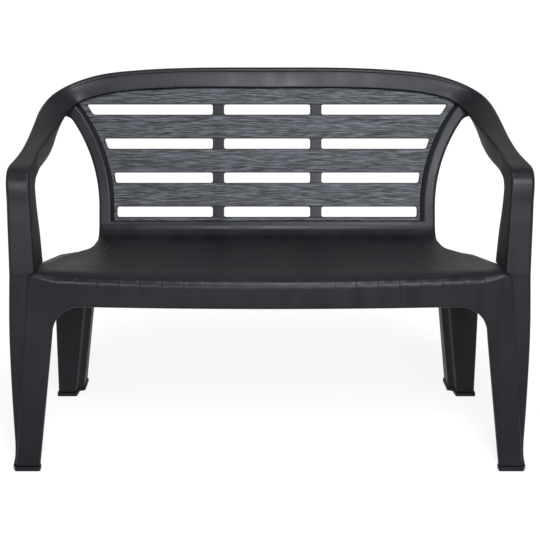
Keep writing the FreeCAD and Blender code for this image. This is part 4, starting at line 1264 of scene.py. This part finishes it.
stage = {
    # metres. The floor lies a little under the feet
    "floorHalf": 80, "floorFront": -20, "floorBack": 140, "floorUp": -0.0005,
    # reach of the darker floor round the feet, a painted shade, how bright it looks at their middle, and the
    # light of the sky
    "shadowReach": 1.3, "nearGlow": 0.86, "softWorld": 0.12, "paint": "a0a0a0", "white": "ffffff",
    "daylight": "f1f5ff",
}
half, near, far = stage["floorHalf"], stage["floorFront"], stage["floorBack"]
corners = [(-half, near, 0), (half, near, 0), (half, far, 0), (-half, far, 0)]
floorMesh = bpy.data.meshes.new("floor")
floorMesh.from_pydata(corners, [], [(0, 1, 2, 3)])
floor = addObject("floor", floorMesh)
floor.location.z = stage["floorUp"]


# 1 for what looks at the floor and the background, 0 for the light that they give
def looking(tree):
    ray = addNode(tree, "ShaderNodeLightPath").outputs
    direct = addNode(tree, "ShaderNodeMath", {
        0: ray["Is Camera Ray"], 1: ray["Is Transmission Ray"]}, operation="MAXIMUM")
    return addNode(tree, "ShaderNodeMath", {
        0: direct.outputs["Value"], 1: ray["Is Glossy Ray"]}, operation="MAXIMUM").outputs["Value"]


# Pale to the lamps, and lightened where it is looked at. That glow is dimmer round the feet, a painted shade
# over their real shadow
def paleFloor():
    material, tree = newMaterial("pale_floor")
    place = addNode(tree, "ShaderNodeTexCoord").outputs["Object"]
    away = addNode(tree, "ShaderNodeVectorMath", {0: place}, operation="LENGTH")
    # painted shade: the glow falls to nearGlow round the bench's middle
    level = addNode(tree, "ShaderNodeMapRange", {
        "Value": away.outputs["Value"],
        "From Min": 0.5 * stage["shadowReach"], "From Max": stage["shadowReach"],
        "To Min": stage["nearGlow"], "To Max": 1}, interpolation_type="SMOOTHSTEP")
    glow = addNode(tree, "ShaderNodeMath", {
        0: looking(tree), 1: level.outputs["Result"]}, operation="MULTIPLY")
    paint = addNode(tree, "ShaderNodeBsdfDiffuse", {"Color": linear(stage["paint"])})
    light = addNode(tree, "ShaderNodeEmission", {
        "Color": linear(stage["white"]), "Strength": glow.outputs["Value"]})
    both = addNode(tree, "ShaderNodeAddShader", {0: paint.outputs["BSDF"], 1: light.outputs["Emission"]})
    addNode(tree, "ShaderNodeOutputMaterial", {"Surface": both.outputs["Shader"]})
    return material


floorMesh.materials.append(paleFloor())
floor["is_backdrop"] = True


lamps = {
    # place, what it looks at, width, height, watts
    "key": ((0.75, -3.2, 1.3), (0.1, 0, 0.6), 1.2, 0.45, 39),
    "high": ((0.16, -2.6, 2.55), (0, 0.1, 0.7), 0.7, 1.1, 52),
    "low": ((0.2, -3.3, 0.45), (0, 0, 0.5), 2.6, 0.4, 26),
    "left": ((-1.2, -3.2, 0.85), (-0.4, 0, 0.6), 0.6, 0.6, 16),
}
for name, (location, target, width, height, power) in lamps.items():
    data = bpy.data.lights.new(name, "AREA")
    data.shape = "RECTANGLE"
    data.size, data.size_y = width, height
    data.energy = power
    data.color = linear(stage["daylight"])[:3]
    light = addObject(name, data)
    light.location = location
    light.rotation_euler = (Vector(target) - Vector(location)).to_track_quat("-Z", "Y").to_euler()

world = bpy.data.worlds.new("studio")
bpy.context.scene.world = world
world.use_nodes = True
sky = world.node_tree
sky.nodes.clear()
soft = addNode(sky, "ShaderNodeBackground", {
    "Color": linear(stage["white"]), "Strength": stage["softWorld"]})
white = addNode(sky, "ShaderNodeBackground", {"Color": linear(stage["white"]), "Strength": 1})
both = addNode(sky, "ShaderNodeMixShader", {
    0: looking(sky), 1: soft.outputs["Background"], 2: white.outputs["Background"]})
addNode(sky, "ShaderNodeOutputWorld", {"Surface": both.outputs["Shader"]})

# Where the photograph was taken from
view = {"lens": 80.1, "shift": (0.0407, -0.1667), "place": (-0.047, -2.7408, 1.1285), "tilt": 79}

cameraData = bpy.data.cameras.new("camera")
cameraData.lens = view["lens"]
cameraData.shift_x, cameraData.shift_y = view["shift"]
camera = addObject("camera", cameraData)
camera.location = view["place"]
camera.rotation_euler = (math.radians(view["tilt"]), 0, 0)
bpy.context.scene.camera = camera
bpy.context.scene.view_settings.view_transform = "Standard"
print("stage made")

low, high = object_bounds()
